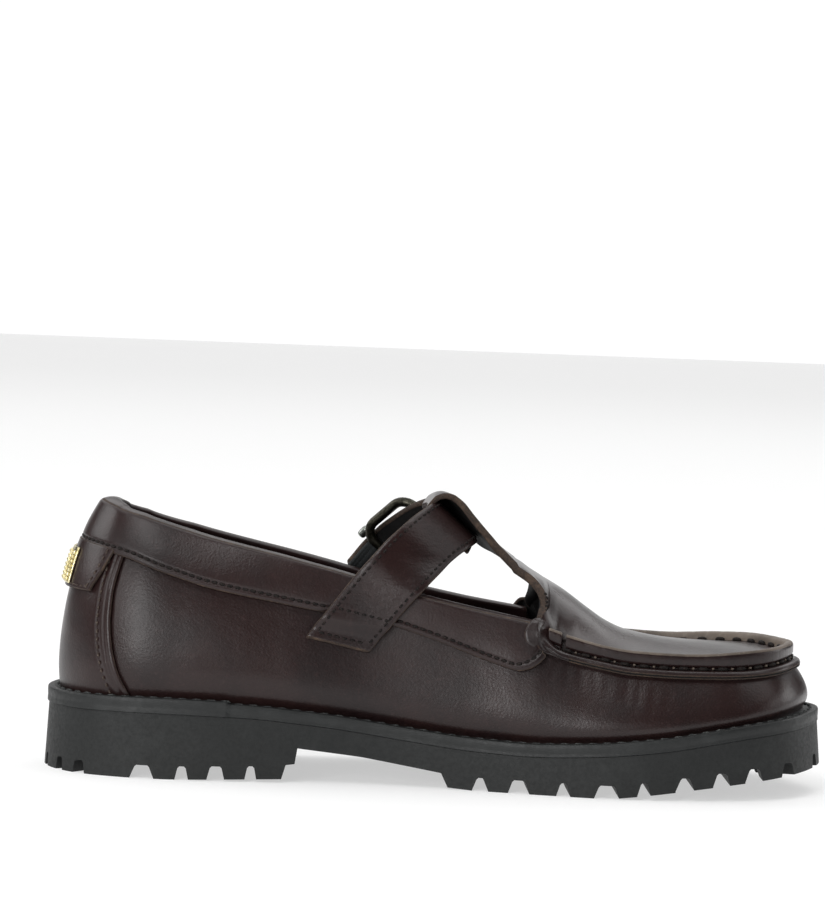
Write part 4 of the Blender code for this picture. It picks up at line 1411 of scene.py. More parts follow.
@dataclass
class Upper:
    """Moccasin upper: wall, turned out lip, hand sewn ridge, apron and T-bar."""

    finishes: Finishes
    leather: float = 2.0
    wall_below: float = 0.9
    wall_above: float = 1.3
    columns: int = 340
    rows: int = 46
    lip_out: float = 1.7
    lip_thick: float = 2.6
    lip_inner: float = -1.9
    ridge_width: float = 3.6
    block_out: float = 0.25
    block_up: float = 0.2
    block_gap: float = 1.4
    block_x: float = 33.9
    ridge_x: float = 39.8
    lip_x: float = 38.0
    outline_length: float = 330.0
    bow: float = 3.6
    pitch: float = 6.8
    corner: tuple[float, float] = (33.4, 59.0)
    skirt_x: float = 46.0
    skirt_cells: int = 34
    tbar_thick: float = 2.9
    apron_thick: float = 1.9
    skirt_thinner: float = 1.7
    throat_inset: float = 1.2
    throat_pitch: float = 1.85
    # Material number of each band of the two sections; the ridge's top bands take the pale worn leather,
    # partly a painted highlight
    RIDGE_KINDS = np.array([0, 0, 0, 0, 0, 1, 1, 1, 1, 1, 1, 1, 0, 0, 0])
    # In the lip, the backing bands between its two raw edges are near-black, partly painted shade in the
    # recess
    LIP_KINDS = np.array([0, 0, 0, 0, 0, 0, 1, 1, 2, 2, 2, 1, 1, 0, 0])
    HAND_STITCH = Stitch(3.6, 0.75)
    PINCH = Stitch(0.9, 0.42)
    THROAT_STITCH = Stitch(1.2, 0.5)

    def creases(self, x: ndarray, z: ndarray) -> ndarray:
        """How far the worn wall sinks or swells at places seen from the side.

        Args:
            x: places along the shoe.
            z: heights.

        Returns:
            Distances outward.
        """
        total = np.zeros(np.broadcast(x, z).shape)
        for cx, cz, length, depth, turn, width in CREASES.rows:
            angle = math.radians(turn)
            dx, dz = x - cx, z - cz
            along = dx * math.sin(angle) + dz * math.cos(angle)
            across = dx * math.cos(angle) - dz * math.sin(angle)
            total -= depth * np.exp(-(across / width) ** 2) * np.exp(-(along / length * 2) ** 4)
        return total

    def wall(self) -> Object:
        """The bucket wall, from the rim to the top line and under the lip.

        Returns:
            The piece.
        """
        t = np.linspace(0, 1, self.columns)
        grid = []
        for side, places in both_sides(t):
            x = LAST.at(side, places)[0][:, 0]
            low = LAST.feather(x) - self.wall_below
            front = FRONT.read("lip", x) + self.wall_above
            high = LAST.top(side, x) + (front - LAST.top(side, x)) * smooth((x - 30.0) / 4.0)
            z = low[:, None] + (high - low)[:, None] * np.linspace(0, 1, self.rows)
            out = self.creases(x[:, None], z)
            grid.append(LAST.wall(side, places[:, None] + 0 * z, z, out))
        sheet = Sheet(np.concatenate(grid), self.leather, closed=True)
        return sheet.build("upper_wall", self.finishes.upper, self.finishes.lining, self.finishes.edge)

    def front_places(self, side: Side, start: float, count: int) -> ndarray:
        """Columns of a side from a place seen from the side to the toe tip."""
        return np.linspace(LAST.place_of(side, start), 1, count)

    def edge(self, side: Side, t: ndarray) -> tuple[ndarray, ndarray, ndarray]:
        """Plan points and normals of the wall's edge at the lip, and their x.

        Args:
            side: side of the foot.
            t: places on the outline.

        Returns:
            The points, the normals and x.
        """
        point, normal = LAST.at(side, t)
        x = point[:, 0]
        edge = LAST.wall(side, t, FRONT.read("lip", x))[:, :2]
        return edge, normal, x

    def swept(self, name: str, profile: Callable[[ndarray, ndarray, ndarray], list], start: float,
              materials: Sequence[Material], kinds: ndarray | None = None,
              count: int = 300) -> Object:
        """Sweep a profile round the front.

        Args:
            name: the piece's name.
            profile: gives its points, as places out and up, for the lip's and the seam's heights and x.
            start: where both of its ends lie.
            materials: its materials.
            kinds: material number by place in the profile.
            count: columns of each side.

        Returns:
            The closed piece.
        """
        rows = []
        for side in Side:
            t = self.front_places(side, start, count)
            edge, normal, x = self.edge(side, t)
            ring = [beside(edge, normal, out, z)
                    for out, z in profile(FRONT.read("lip", x), FRONT.read("seam", x), x)]
            rows.append(np.stack(ring, 1))
        rings = np.concatenate([rows[0][:-1], rows[1][::-1]])
        return sweep(name, rings, materials, kinds)

    def lip_section(self, lip: ndarray) -> list[tuple[float, ndarray]]:
        """Section of the lip from its top round its two raw edges, as places out and up."""
        out, top = self.lip_out, lip + self.lip_thick
        return [(self.lip_inner, top - 0.7), (-1.3, top - 0.6), (-0.8, top - 0.1), (-0.2, top + 0.2),
                (0.6, top + 0.1), (out - 0.35, top - 0.35), (out, top - 1.15),
                (out + 0.06, top - 1.35), (out, top - 1.6),
                (out - 0.4, top - 1.75), (out - 0.4, top - 1.95), (out + 0.02, top - 2.1),
                (out - 0.05, top - 2.35), (out - 0.5, top - 2.6)]

    def lip(self) -> Object:
        """The turned out lip under the ridge: two layers with raw edges.

        Returns:
            The piece.
        """

        def profile(lip: ndarray, seam: ndarray, x: ndarray) -> list:
            """Section of the lip, closed under the ridge."""
            return self.lip_section(lip) + [(self.lip_inner, lip - 0.1)]

        # The near-black backing between the lip's raw edges is partly painted shade
        finishes = (self.finishes.upper, self.finishes.edge, self.finishes.backing_and_shade)
        return self.swept("front_lip", profile, self.lip_x, finishes, self.LIP_KINDS)

    def ridge_section(self, lip: ndarray, seam: ndarray, pinch: ndarray) -> list:
        """Section of the ridge; pinch is 1 where a stitch draws it in.

        Args:
            lip: height of the lip's foot.
            seam: height of the seam's top.
            pinch: how much it is drawn in.

        Returns:
            Places out and up.
        """
        low = lip + self.lip_thick - 0.7
        top = seam - 0.04 * pinch
        near = -0.85 - 0.03 * pinch
        return [(-2.3, low), (-2.2, low + 1.5), (near - 0.35, low + 2.2), (near, low + 2.9),
                (near, top - 1.5), (near - 0.15, top - 0.75), (near - 0.5, top - 0.25), (near - 1.0, top),
                (near - 1.6, top - 0.05), (-3.4, top - 0.35), (-3.95, top - 0.9), (-4.3, top - 1.8),
                (-4.5, seam - 3.0), (-4.6, seam - 4.6), (-2.6, seam - 5.2)]

    def ridge(self) -> Object:
        """The raised roll of the hand sewn seam, drawn in at each stitch.

        Returns:
            The piece.
        """

        def profile(lip: ndarray, seam: ndarray, x: ndarray) -> list:
            """Section with its pinches, which follow the stitches' pitch along x.

            Args:
                lip: heights of the lip's foot.
                seam: heights of the seam's top.
                x: places along the shoe.

            Returns:
                Places out and up.
            """
            length = LAST.place_of(Side.MEDIAL, x) * self.outline_length
            run = np.concatenate([[0], np.cumsum(np.abs(np.diff(length)))])
            share = (run / self.pitch + 0.5) % 1 - 0.5
            return self.ridge_section(lip, seam, np.exp(-(share / 0.13) ** 2))

        # The ridge's top is worn and partly a painted highlight
        finishes = (self.finishes.upper, self.finishes.worn)
        return self.swept("front_ridge", profile, self.ridge_x, finishes, self.RIDGE_KINDS, 420)

    def blocks(self) -> list[Object]:
        """The short upright start of the ridge on each side, behind a gap.

        Returns:
            The pieces.
        """
        made = []
        for side in Side:
            t = np.linspace(*LAST.place_of(side, (self.block_x, self.ridge_x - self.block_gap)), 24)
            edge, normal, x = self.edge(side, t)
            lip, seam = FRONT.read("lip", x), FRONT.read("seam", x)
            ring = [beside(edge, normal, out + self.block_out, z + self.block_up)
                    for out, z in self.ridge_section(lip, seam, 0 * x)]
            rings = np.stack(ring, 1)
            centre = rings.mean(1, keepdims=True)
            u = np.linspace(0, 1, len(t))
            full = np.minimum(1, 0.8 + 1.2 * np.minimum(u, 1 - u) ** 0.7)[:, None, None]
            # The ridge's start has the same worn top, partly a painted highlight
            made.append(sweep(f"ridge_start_{side.name.lower()}", centre + (rings - centre) * full,
                              (self.finishes.upper, self.finishes.worn), self.RIDGE_KINDS))
        return made

    def hand_stitches(self) -> list[Object]:
        """Hand stitches in the groove and on the ridge's inner side, and the bits of leather they pinch.

        Returns:
            The pieces.
        """
        stitches, pinched = [], []
        for side in Side:
            t = self.front_places(side, self.block_x + 3, 400)
            edge, normal, x = self.edge(side, t)
            lip, seam = FRONT.read("lip", x), FRONT.read("seam", x)
            up = unit(beside(0 * normal, normal, 0.9, 0.4))
            groove = beside(edge, normal, -1.35, lip + self.lip_thick + 0.75)
            stitches.append(Places.march(groove, up, self.pitch))
            pinched.append(Places.march(groove + up * 0.3, up, self.pitch, 1.0))
            inner = beside(edge, normal, -5.0, seam - 2.5)
            inward = unit(beside(0 * normal, normal, -0.6, 0.8))
            stitches.append(Places.march(inner, inward, self.pitch))
        rows = stitches[0].joined(*stitches[1:])
        thread = self.HAND_STITCH.lay("ridge_stitches", rows, self.finishes.thread)
        # The pinched bits take the pale worn leather: bumps of real shape, with painted glints between the
        # stitches in the groove
        return [thread, self.PINCH.lay("ridge_pinches_painted_glints", pinched[0].joined(pinched[1]), self.finishes.worn)]

    def front_columns(self, side: Side) -> ndarray:
        """Columns of the apron and its lip, close together round the throat's corner.

        Args:
            side: side of the foot.

        Returns:
            Places on the outline.
        """
        near = LAST.THROAT_X + (self.skirt_x - LAST.THROAT_X) * np.linspace(0, 1, 70) ** 1.5
        near = LAST.place_of(side, near)
        return np.concatenate([near[:-1], np.linspace(near[-1], 1, 126)])

    def apron_edge(self, side: Side, t: ndarray) -> ndarray:
        """Edge of the apron: at the throat's corner first, inside the ridge further on.

        Args:
            side: side of the foot.
            t: places on the outline.

        Returns:
            The edge's points.
        """
        edge, normal, x = self.edge(side, t)
        seam = beside(edge, normal, -(0.6 + self.ridge_width), FRONT.read("seam", x) - 3.2)
        corner = LAST.on_wall(side, *self.corner, 0.9)
        share = smooth((x - LAST.THROAT_X) / 7.0)[:, None]
        border = corner * (1 - share) + seam * share
        border[:, 0] = seam[:, 0] + (corner[0] - seam[0, 0]) * (1 - smooth((x - LAST.THROAT_X) / 9.0))
        return border

    def skirt(self, side: Side, t: ndarray, border: ndarray) -> ndarray:
        """The lip's end: from its edge over the collar's end up to the apron's border.

        Args:
            side: side of the foot.
            t: places on the outline.
            border: edge of the apron.

        Returns:
            Its grid of points.
        """
        edge, normal, x = self.edge(side, t)
        v = np.linspace(0, 1, self.skirt_cells)
        key = np.interp(x, (LAST.THROAT_X, 36.5, self.skirt_x), (0, 0.66, 1))
        foot = [LIP_END.read(name, key)[:, None] for name in ("x", "z", "out")]
        gone = border[:, None, :]
        px = foot[0] * (1 - v) + gone[..., 0] * v
        pz = foot[1] * (1 - v) + gone[..., 2] * v
        fold = LIP_FOLD.read("x", pz)
        slope = (LIP_FOLD.read("x", pz + 0.1) - LIP_FOLD.read("x", pz - 0.1)) / 0.2
        near = (px - fold) / np.sqrt(1 + slope * slope)
        round_off = 0.3 * np.maximum(0, 1 - v / 0.08) ** 2 - 0.22 * np.exp(-(near / 0.35) ** 2)
        over = 1.0 + 2.9 * (1 - smooth((px - 31.0) / 3.6))
        laid = LAST.on_wall(side, px, pz, np.minimum(foot[2], over + 0.3) - round_off)
        share = smooth((v - 0.5) / 0.5)[:, None]
        laid = laid * (1 - share) + (laid + (gone - laid[:, -1:])) * share
        lip = FRONT.read("lip", x)
        section = self.lip_section(lip)[::-1]
        outs = np.array([out for out, _ in section])
        ups = np.array([up + 0 * x for _, up in section])
        last_cells = (1, 2, 3, 4)
        steps = np.linspace(0, len(section) - 1, self.skirt_cells - len(last_cells))
        rest = np.arange(len(section))
        grow = 0.12 * (1 - smooth((x - 40) / 4))
        turned = []
        for step in steps:
            out = np.interp(step, rest, outs) + grow - 0.5 * (1 - grow / 0.12)
            up = np.array([np.interp(step, rest, column) for column in ups.T])
            turned.append(beside(edge, normal, out, up))
        last = turned[-1]
        turned += [last + (border - last) * k / len(last_cells) for k in last_cells]
        turned = np.stack(turned, 1)
        share = smooth((x - 35.0) / 3.0)[:, None, None]
        return laid * (1 - share) + turned * share

    def apron(self) -> tuple[ndarray, ndarray, ndarray]:
        """Grid of the apron, from the throat to the toe, and the two skirts beside it.

        Returns:
            The three grids.
        """
        places = {side: self.front_columns(side) for side in Side}
        medial, lateral = (self.apron_edge(side, places[side]) for side in Side)
        x = LAST.at(Side.MEDIAL, places[Side.MEDIAL])[0][:, 0]
        ease = 1 - smooth((x - LAST.THROAT_X) / (self.skirt_x - LAST.THROAT_X))
        grid = self.bowed(medial, lateral, self.bow * ease, 4 + 6 * ease)
        grid[..., 2] = self.height(grid[..., 0], grid[..., 1], medial, lateral)
        borders = zip(Side, (medial, lateral))
        return grid, *(self.skirt(side, places[side], border) for side, border in borders)

    def widths(self) -> ndarray:
        """Places across the apron, closer together at its sides."""
        return 0.5 - 0.5 * np.cos(np.linspace(0, math.pi, 64))

    def bar_grid(self, apron: ndarray) -> tuple[ndarray, ndarray]:
        """Grid of the T-bar, from its hidden end to the throat, and its thickness by row.

        Args:
            apron: grid of the apron.

        Returns:
            The grid and the thicknesses.
        """
        share = 2 * self.widths() - 1
        u = np.linspace(0, 1, 34)[1:-1]
        edges = []
        for column, side in ((apron[0, 0], Side.MEDIAL), (apron[0, -1], Side.LATERAL)):
            end = side * TBAR.read("half_width", 2)
            y = LAST.CENTRE_Y + end + (column[1] - LAST.CENTRE_Y - end) * THROAT.read("spread", u)
            edges.append(stack(THROAT.read("x", u), y, THROAT.read("z", u)))
        join = self.bowed(*edges, THROAT.read("middle", u) - THROAT.read("x", u), 10 - 7 * u)
        borders = apron[:, 0], apron[:, -1]
        join[..., 2] = self.height(join[..., 0], join[..., 1], *borders)
        for edge, toward in ((edges[0], -share), (edges[1], share)):
            lift = edge[:, 2] - self.height(edge[:, 0], edge[:, 1], *borders)
            join[..., 2] += lift[:, None] * np.maximum(toward, 0) ** 2
        rows = np.linspace(2, 15, 138)
        bar = LAST.tbar(rows[:, None], share[None])
        thick = np.concatenate([TBAR.read("thick", rows)[::-1], np.full(len(join), self.tbar_thick)])
        return np.concatenate([bar[::-1], join[::-1]]), thick

    def bowed(self, medial: ndarray, lateral: ndarray, bow: ndarray,
              power: ndarray) -> ndarray:
        """Rows between two edges, moved forward by a bow that is fuller the higher its power.

        Args:
            medial: points of one edge.
            lateral: points of the other.
            bow: how far by row.
            power: power by row.

        Returns:
            The grid of points.
        """
        w = self.widths()
        grid = medial[:, None] + (lateral - medial)[:, None] * w[None, :, None]
        grid[..., 0] += bow[:, None] * (1 - np.abs(2 * w - 1)[None] ** power[:, None])
        return grid

    def height(self, x: ndarray, y: ndarray, medial: ndarray, lateral: ndarray) -> ndarray:
        """Height of the crowned apron over places between its two borders, squarer at the throat.

        Args:
            x: places along the shoe.
            y: places across it.
            medial: points of one border.
            lateral: points of the other.

        Returns:
            The heights.
        """
        near, far = ([np.interp(x, border[:, 0], column) for column in border.T[1:]]
                     for border in (medial, lateral))
        w = np.clip((y - near[0]) / np.maximum(far[0] - near[0], 1e-6), 0, 1)
        square = 1 - smooth((x - 33.0) / 13.0)
        rise = (1 - np.abs(2 * w - 1) ** (2 + square)) ** (0.9 - 0.3 * square)
        low = near[1] + (far[1] - near[1]) * w
        return low + (APRON.read("middle", x) - low) * rise

    def front(self) -> list[Object]:
        """Apron, lip ends and T-bar in one piece, and the stitches beside the T-bar's cut edge.

        Returns:
            The pieces.
        """
        apron, *skirts = self.apron()
        bar, thick = self.bar_grid(apron)
        cells = self.skirt_cells - 1
        slivers = []
        for edge, inner in ((bar[:, 0], bar[:, 1]), (bar[:, -1], bar[:, -2])):
            steps = 0.02 * np.arange(cells, 0, -1)[None, :, None]
            slivers.append(edge[:, None] + unit(edge - inner)[:, None] * steps)
        left = np.concatenate([slivers[0], skirts[0][:, :-1]])
        right = np.concatenate([slivers[1], skirts[1][:, :-1]])[:, ::-1]
        grid = np.concatenate([left, np.concatenate([bar, apron]), right], 1)
        count = len(apron)
        ease = smooth(np.arange(count) / 6)
        rows = np.concatenate([thick, self.tbar_thick + (self.apron_thick - self.tbar_thick) * ease])
        table = np.repeat(rows[:, None], grid.shape[1], 1)
        thinned = self.skirt_thinner * smooth((np.arange(count) + 1) / 3)
        table[len(bar):, :cells] = self.tbar_thick - thinned[:, None]
        table[len(bar):, -cells:] = table[len(bar):, :1]
        normal = grid_normals(grid)
        safe = cells + 9
        normal[:len(bar) + 2, :safe] = normal[:len(bar) + 2, safe, None]
        normal[:len(bar) + 2, -safe:] = normal[:len(bar) + 2, -safe - 1, None]
        normal = calm(normal, 6)
        # Outside is the lightened vamp leather (painted sheen); inside is the near-black backing (partly
        # painted shade)
        piece = Sheet(grid, table, normals=normal).build(
            "apron_and_tbar", self.finishes.vamp, self.finishes.backing_and_shade, self.finishes.edge)
        made = []
        rows = slice(len(bar) - 18, len(bar) + 3)
        for column, inner in ((cells, cells + 1), (-1 - cells, -2 - cells)):
            edge = grid[rows, column]
            inward = unit(grid[rows, column + (12 if column > 0 else -12)] - edge)
            line = edge + inward * self.throat_inset
            made.append(Places.march(line, normal[rows, inner], self.throat_pitch))
        thread = self.THROAT_STITCH.lay("throat_stitches", made[0].joined(made[1]), self.finishes.thread)
        return [piece, thread]

    def build(self) -> list[Object]:
        """Build the upper's pieces.

        Returns:
            The pieces.
        """
        wall = place_piece(self.wall(), "upper_leather", "upper")
        made = [self.lip(), self.ridge(), *self.blocks(), *self.hand_stitches(), *self.front()]
        return [wall, *(place_piece(m, "upper_leather") for m in made)]


@dataclass
class CollarBand:
    """Folded leather band over the collar."""

    finishes: Finishes
    gap: float = 0.4
    thick: float = 2.2
    inside: float = 1.4
    end_x: float = 29.6
    end_rise: float = 4.6
    lobe: float = 0.0135
    seam_up: float = 1.9
    fold_axis: float = -1.0
    columns: int = 260
    pitch: float = 2.7
    STITCH = Stitch(2.2, 0.62)

    def build(self) -> list[Object]:
        """Fold the band over the top line and stitch its lower edge.

        Returns:
            The pieces.
        """
        rows, lines, normals = [], [], []
        for side in Side:
            straight = np.linspace(0, LAST.place_of(side, self.end_x), self.columns)
            x = LAST.at(side, straight)[0][:, 0]
            low, top = COLLAR.read("low", x), LAST.top(side, x)
            low = low + self.end_rise * (np.maximum(x - 22.0, 0) / 7.6) ** 1.2
            lobe = smooth((x - 8) / 21) * self.lobe
            outer = []
            for share in np.linspace(0, 1, 30):
                t = straight + lobe * max(0.0, 1 - share / 0.8) ** 2
                z = low + (top - low) * share
                puff = 0.45 * math.sin(math.pi * share ** 0.7)
                groove = np.exp(-((z - low - self.seam_up) / 0.5) ** 2)
                seam = 0.5 * groove - 0.25 * np.exp(-((z - low - 0.9) / 0.5) ** 2)
                outer.append(LAST.wall(side, t, z, self.gap + self.thick + puff - seam))
            t = straight
            centre = self.fold_axis
            reach = self.gap + self.thick - centre
            for turn in np.radians(np.linspace(12, 168, 11)):
                outer.append(LAST.wall(side, t, top + 0.75 * self.thick * math.sin(turn),
                                       centre + reach * math.cos(turn)))
            for depth in np.linspace(0.5, 9, 6):
                outer.append(LAST.wall(side, t, top - depth, centre - reach))
            rows.append(np.stack(outer, 1))
            lines.append(LAST.wall(side, t + lobe * 0.7, low + self.seam_up, self.gap + self.thick - 0.15))
            normal = LAST.at(side, t)[1]
            normals.append(stack(normal[:, 0], normal[:, 1], 0.15))
        grid = np.concatenate([rows[0][::-1], rows[1][1:]])
        thick = np.full(grid.shape[1], self.thick)
        thick[30:] = np.linspace(1.8, self.inside, len(thick) - 30)
        # A thin band of raw-edge material along the fold's top: a painted highlight on the folded edge
        band = Sheet(grid, thick[None], flip=True, highlight_stripe=(31, 32)).build(
            "collar_band_leather", self.finishes.collar, self.finishes.lining, self.finishes.edge)
        place_piece(band, "collar_leather", "collar_band")
        line = np.concatenate([lines[0][::-1], lines[1][1:]])
        normal = np.concatenate([normals[0][::-1], normals[1][1:]])
        places = Places.march(line, normal, self.pitch)
        thread = self.STITCH.lay("collar_stitches", places, self.finishes.thread)
        return [band, place_piece(thread, "collar_leather")]


@dataclass
class HeelPieces:
    """Counter with its raised front seam, tab and the plain bar on it."""

    finishes: Finishes
    gap: float = 0.45
    counter: float = 1.0
    tab: float = 1.3
    badge: float = 1.0
    half_length: float = 34.0
    seam_inset: float = 5.1
    pitch: float = 2.7
    tab_base: float = 0.45 + 1.0 + 0.55
    tab_low: float = 62.6
    bar_low: float = 64.0
    bar_high: float = 75.6
    bead_low: float = 64.3
    bead_high: float = 75.3
    bead_pitch: float = 1.55
    COUNTER_STITCH = Stitch(1.5, 0.4)
    TAB_STITCH = Stitch(1.7, 0.32)
    BEAD = Stitch(1.5, 0.72)

    def sheet(self, edge: str, low: Callable[[ndarray], ndarray],
              high: Callable[[ndarray], ndarray], shares: ndarray, levels: int,
              out: ndarray) -> ndarray:
        """Grid of a piece round the back of the heel.

        Args:
            edge: its column in the table of front edges.
            low: its lowest height at a place.
            high: its highest height at a place.
            shares: columns from its medial edge (-1) to its lateral edge (1).
            levels: number of rows.
            out: outward offset by column and row.

        Returns:
            Its outer points.
        """
        rows = []
        for k, share in enumerate(shares):
            side = Side.MEDIAL if share < 0 else Side.LATERAL
            t = np.full(levels, 0.05)
            for _ in range(6):
                x = LAST.at(side, t)[0][:, 0]
                z = low(x) + (high(x) - low(x)) * np.linspace(0, 1, levels)
                t = abs(share) * LAST.place_of(side, BACK_EDGES.read(edge, z))
            rows.append(LAST.wall(side, t, z, out[k]))
        return np.array(rows)

    def under_band(self, x: ndarray) -> ndarray:
        """Height of the pieces' top edges, a little above the collar band's lower edge."""
        return COLLAR.read("low", x) + 1.0

    def away(self, line: ndarray, centre_x: float) -> ndarray:
        """Level directions from an upright axis inside the heel to the points of a line."""
        return line * (1, 1, 0) - (centre_x, -3.0, 0.0)

    def counter_pieces(self) -> list[Object]:
        """The counter with the raised seam along its front edge, and its stitches.

        Returns:
            The pieces.
        """
        shares = np.linspace(-1, 1, 161)
        near = (1 - np.abs(shares)) * self.half_length
        seam = (0.6 * np.exp(-((near - 0.9) / 0.8) ** 2) + 0.3 * np.exp(-((near - 3.2) / 0.8) ** 2)
                - 0.3 * np.exp(-((near - self.seam_inset) / 0.7) ** 2))
        out = (self.gap + self.counter + seam)[:, None] + np.zeros(60)
        grid = self.sheet("counter", lambda x: LAST.feather(x) - 0.6, self.under_band, shares, 60, out)
        counter = Sheet(grid, self.counter, flip=True).build(
            "heel_counter_leather", self.finishes.upper, self.finishes.lining, self.finishes.edge)
        place_piece(counter, "counter_leather", "heel_counter")
        seams = []
        for sign in (-1, 1):
            share = np.array([sign * (1 - self.seam_inset / self.half_length)])
            out = np.full((1, 120), self.gap + self.counter - 0.1)
            line = self.sheet("counter", LAST.feather, self.under_band, share, 120, out)[0]
            seams.append(Places.march(line, self.away(line, -112.0), self.pitch))
        places = seams[0].joined(seams[1])
        # The counter's stitches take the paler thread, a painted highlight
        thread = self.COUNTER_STITCH.lay("counter_stitches", places, self.finishes.sheen_painted_thread)
        return [counter, place_piece(thread, "counter_leather")]

    def tab_pieces(self) -> list[Object]:
        """The tab and the stitches round its edge.

        Returns:
            The pieces.
        """
        shares = np.linspace(-1, 1, 81)
        out = np.full((81, 36), self.tab_base + self.tab)
        grid = self.sheet("tab", lambda x: self.tab_low + 0 * x, self.under_band, shares, 36, out)
        tab = Sheet(grid, self.tab, flip=True).build(
            "heel_tab_leather", self.finishes.upper, self.finishes.lining, self.finishes.edge)
        place_piece(tab, "tab_leather", "heel_tab")
        rim = np.concatenate([grid[3, ::-1], grid[3:-3, 2], grid[-4, 1:]])
        rim = rim + unit(self.away(rim, -100.0)) * 0.05
        places = Places.march(rim, self.away(rim, -100.0), self.pitch)
        # The tab's stitches take the paler thread, a painted highlight
        thread = self.TAB_STITCH.lay("tab_stitches", places, self.finishes.sheen_painted_thread)
        return [tab, place_piece(thread, "tab_leather")]

    def bar_pieces(self) -> list[Object]:
        """The plain bar on the tab and its columns of beads.

        Returns:
            The pieces.
        """
        low, high = self.bar_low, self.bar_high
        face = self.tab_base + self.tab + self.badge
        shares = np.linspace(-1, 1, 61)
        out = np.full((61, 31), face)
        grid = self.sheet("badge", lambda x: low + 0 * x, lambda x: high + 0 * x, shares, 31, out)
        bar = Sheet(grid, self.badge - 0.1, flip=True, bulge=0.9).build(
            "heel_bar", self.finishes.brass, self.finishes.brass, self.finishes.brass)
        place_piece(bar, "badge_brass", "heel_badge")
        columns = []
        out = np.full((1, 80), face + 0.15)
        for share in (-0.84, -0.42, 0.0, 0.42, 0.84):
            line = self.sheet("badge", lambda x: self.bead_low + 0 * x, lambda x: self.bead_high + 0 * x,
                              np.array([share]), 80, out)[0]
            columns.append(Places.march(line, self.away(line, -100.0), self.bead_pitch, 0.4))
        beads = self.BEAD.lay("heel_bar_beads", columns[0].joined(*columns[1:]), self.finishes.brass)
        return [bar, place_piece(beads, "badge_brass")]

    def build(self) -> list[Object]:
        """Build counter, tab and bar."""
        return [*self.counter_pieces(), *self.tab_pieces(), *self.bar_pieces()]


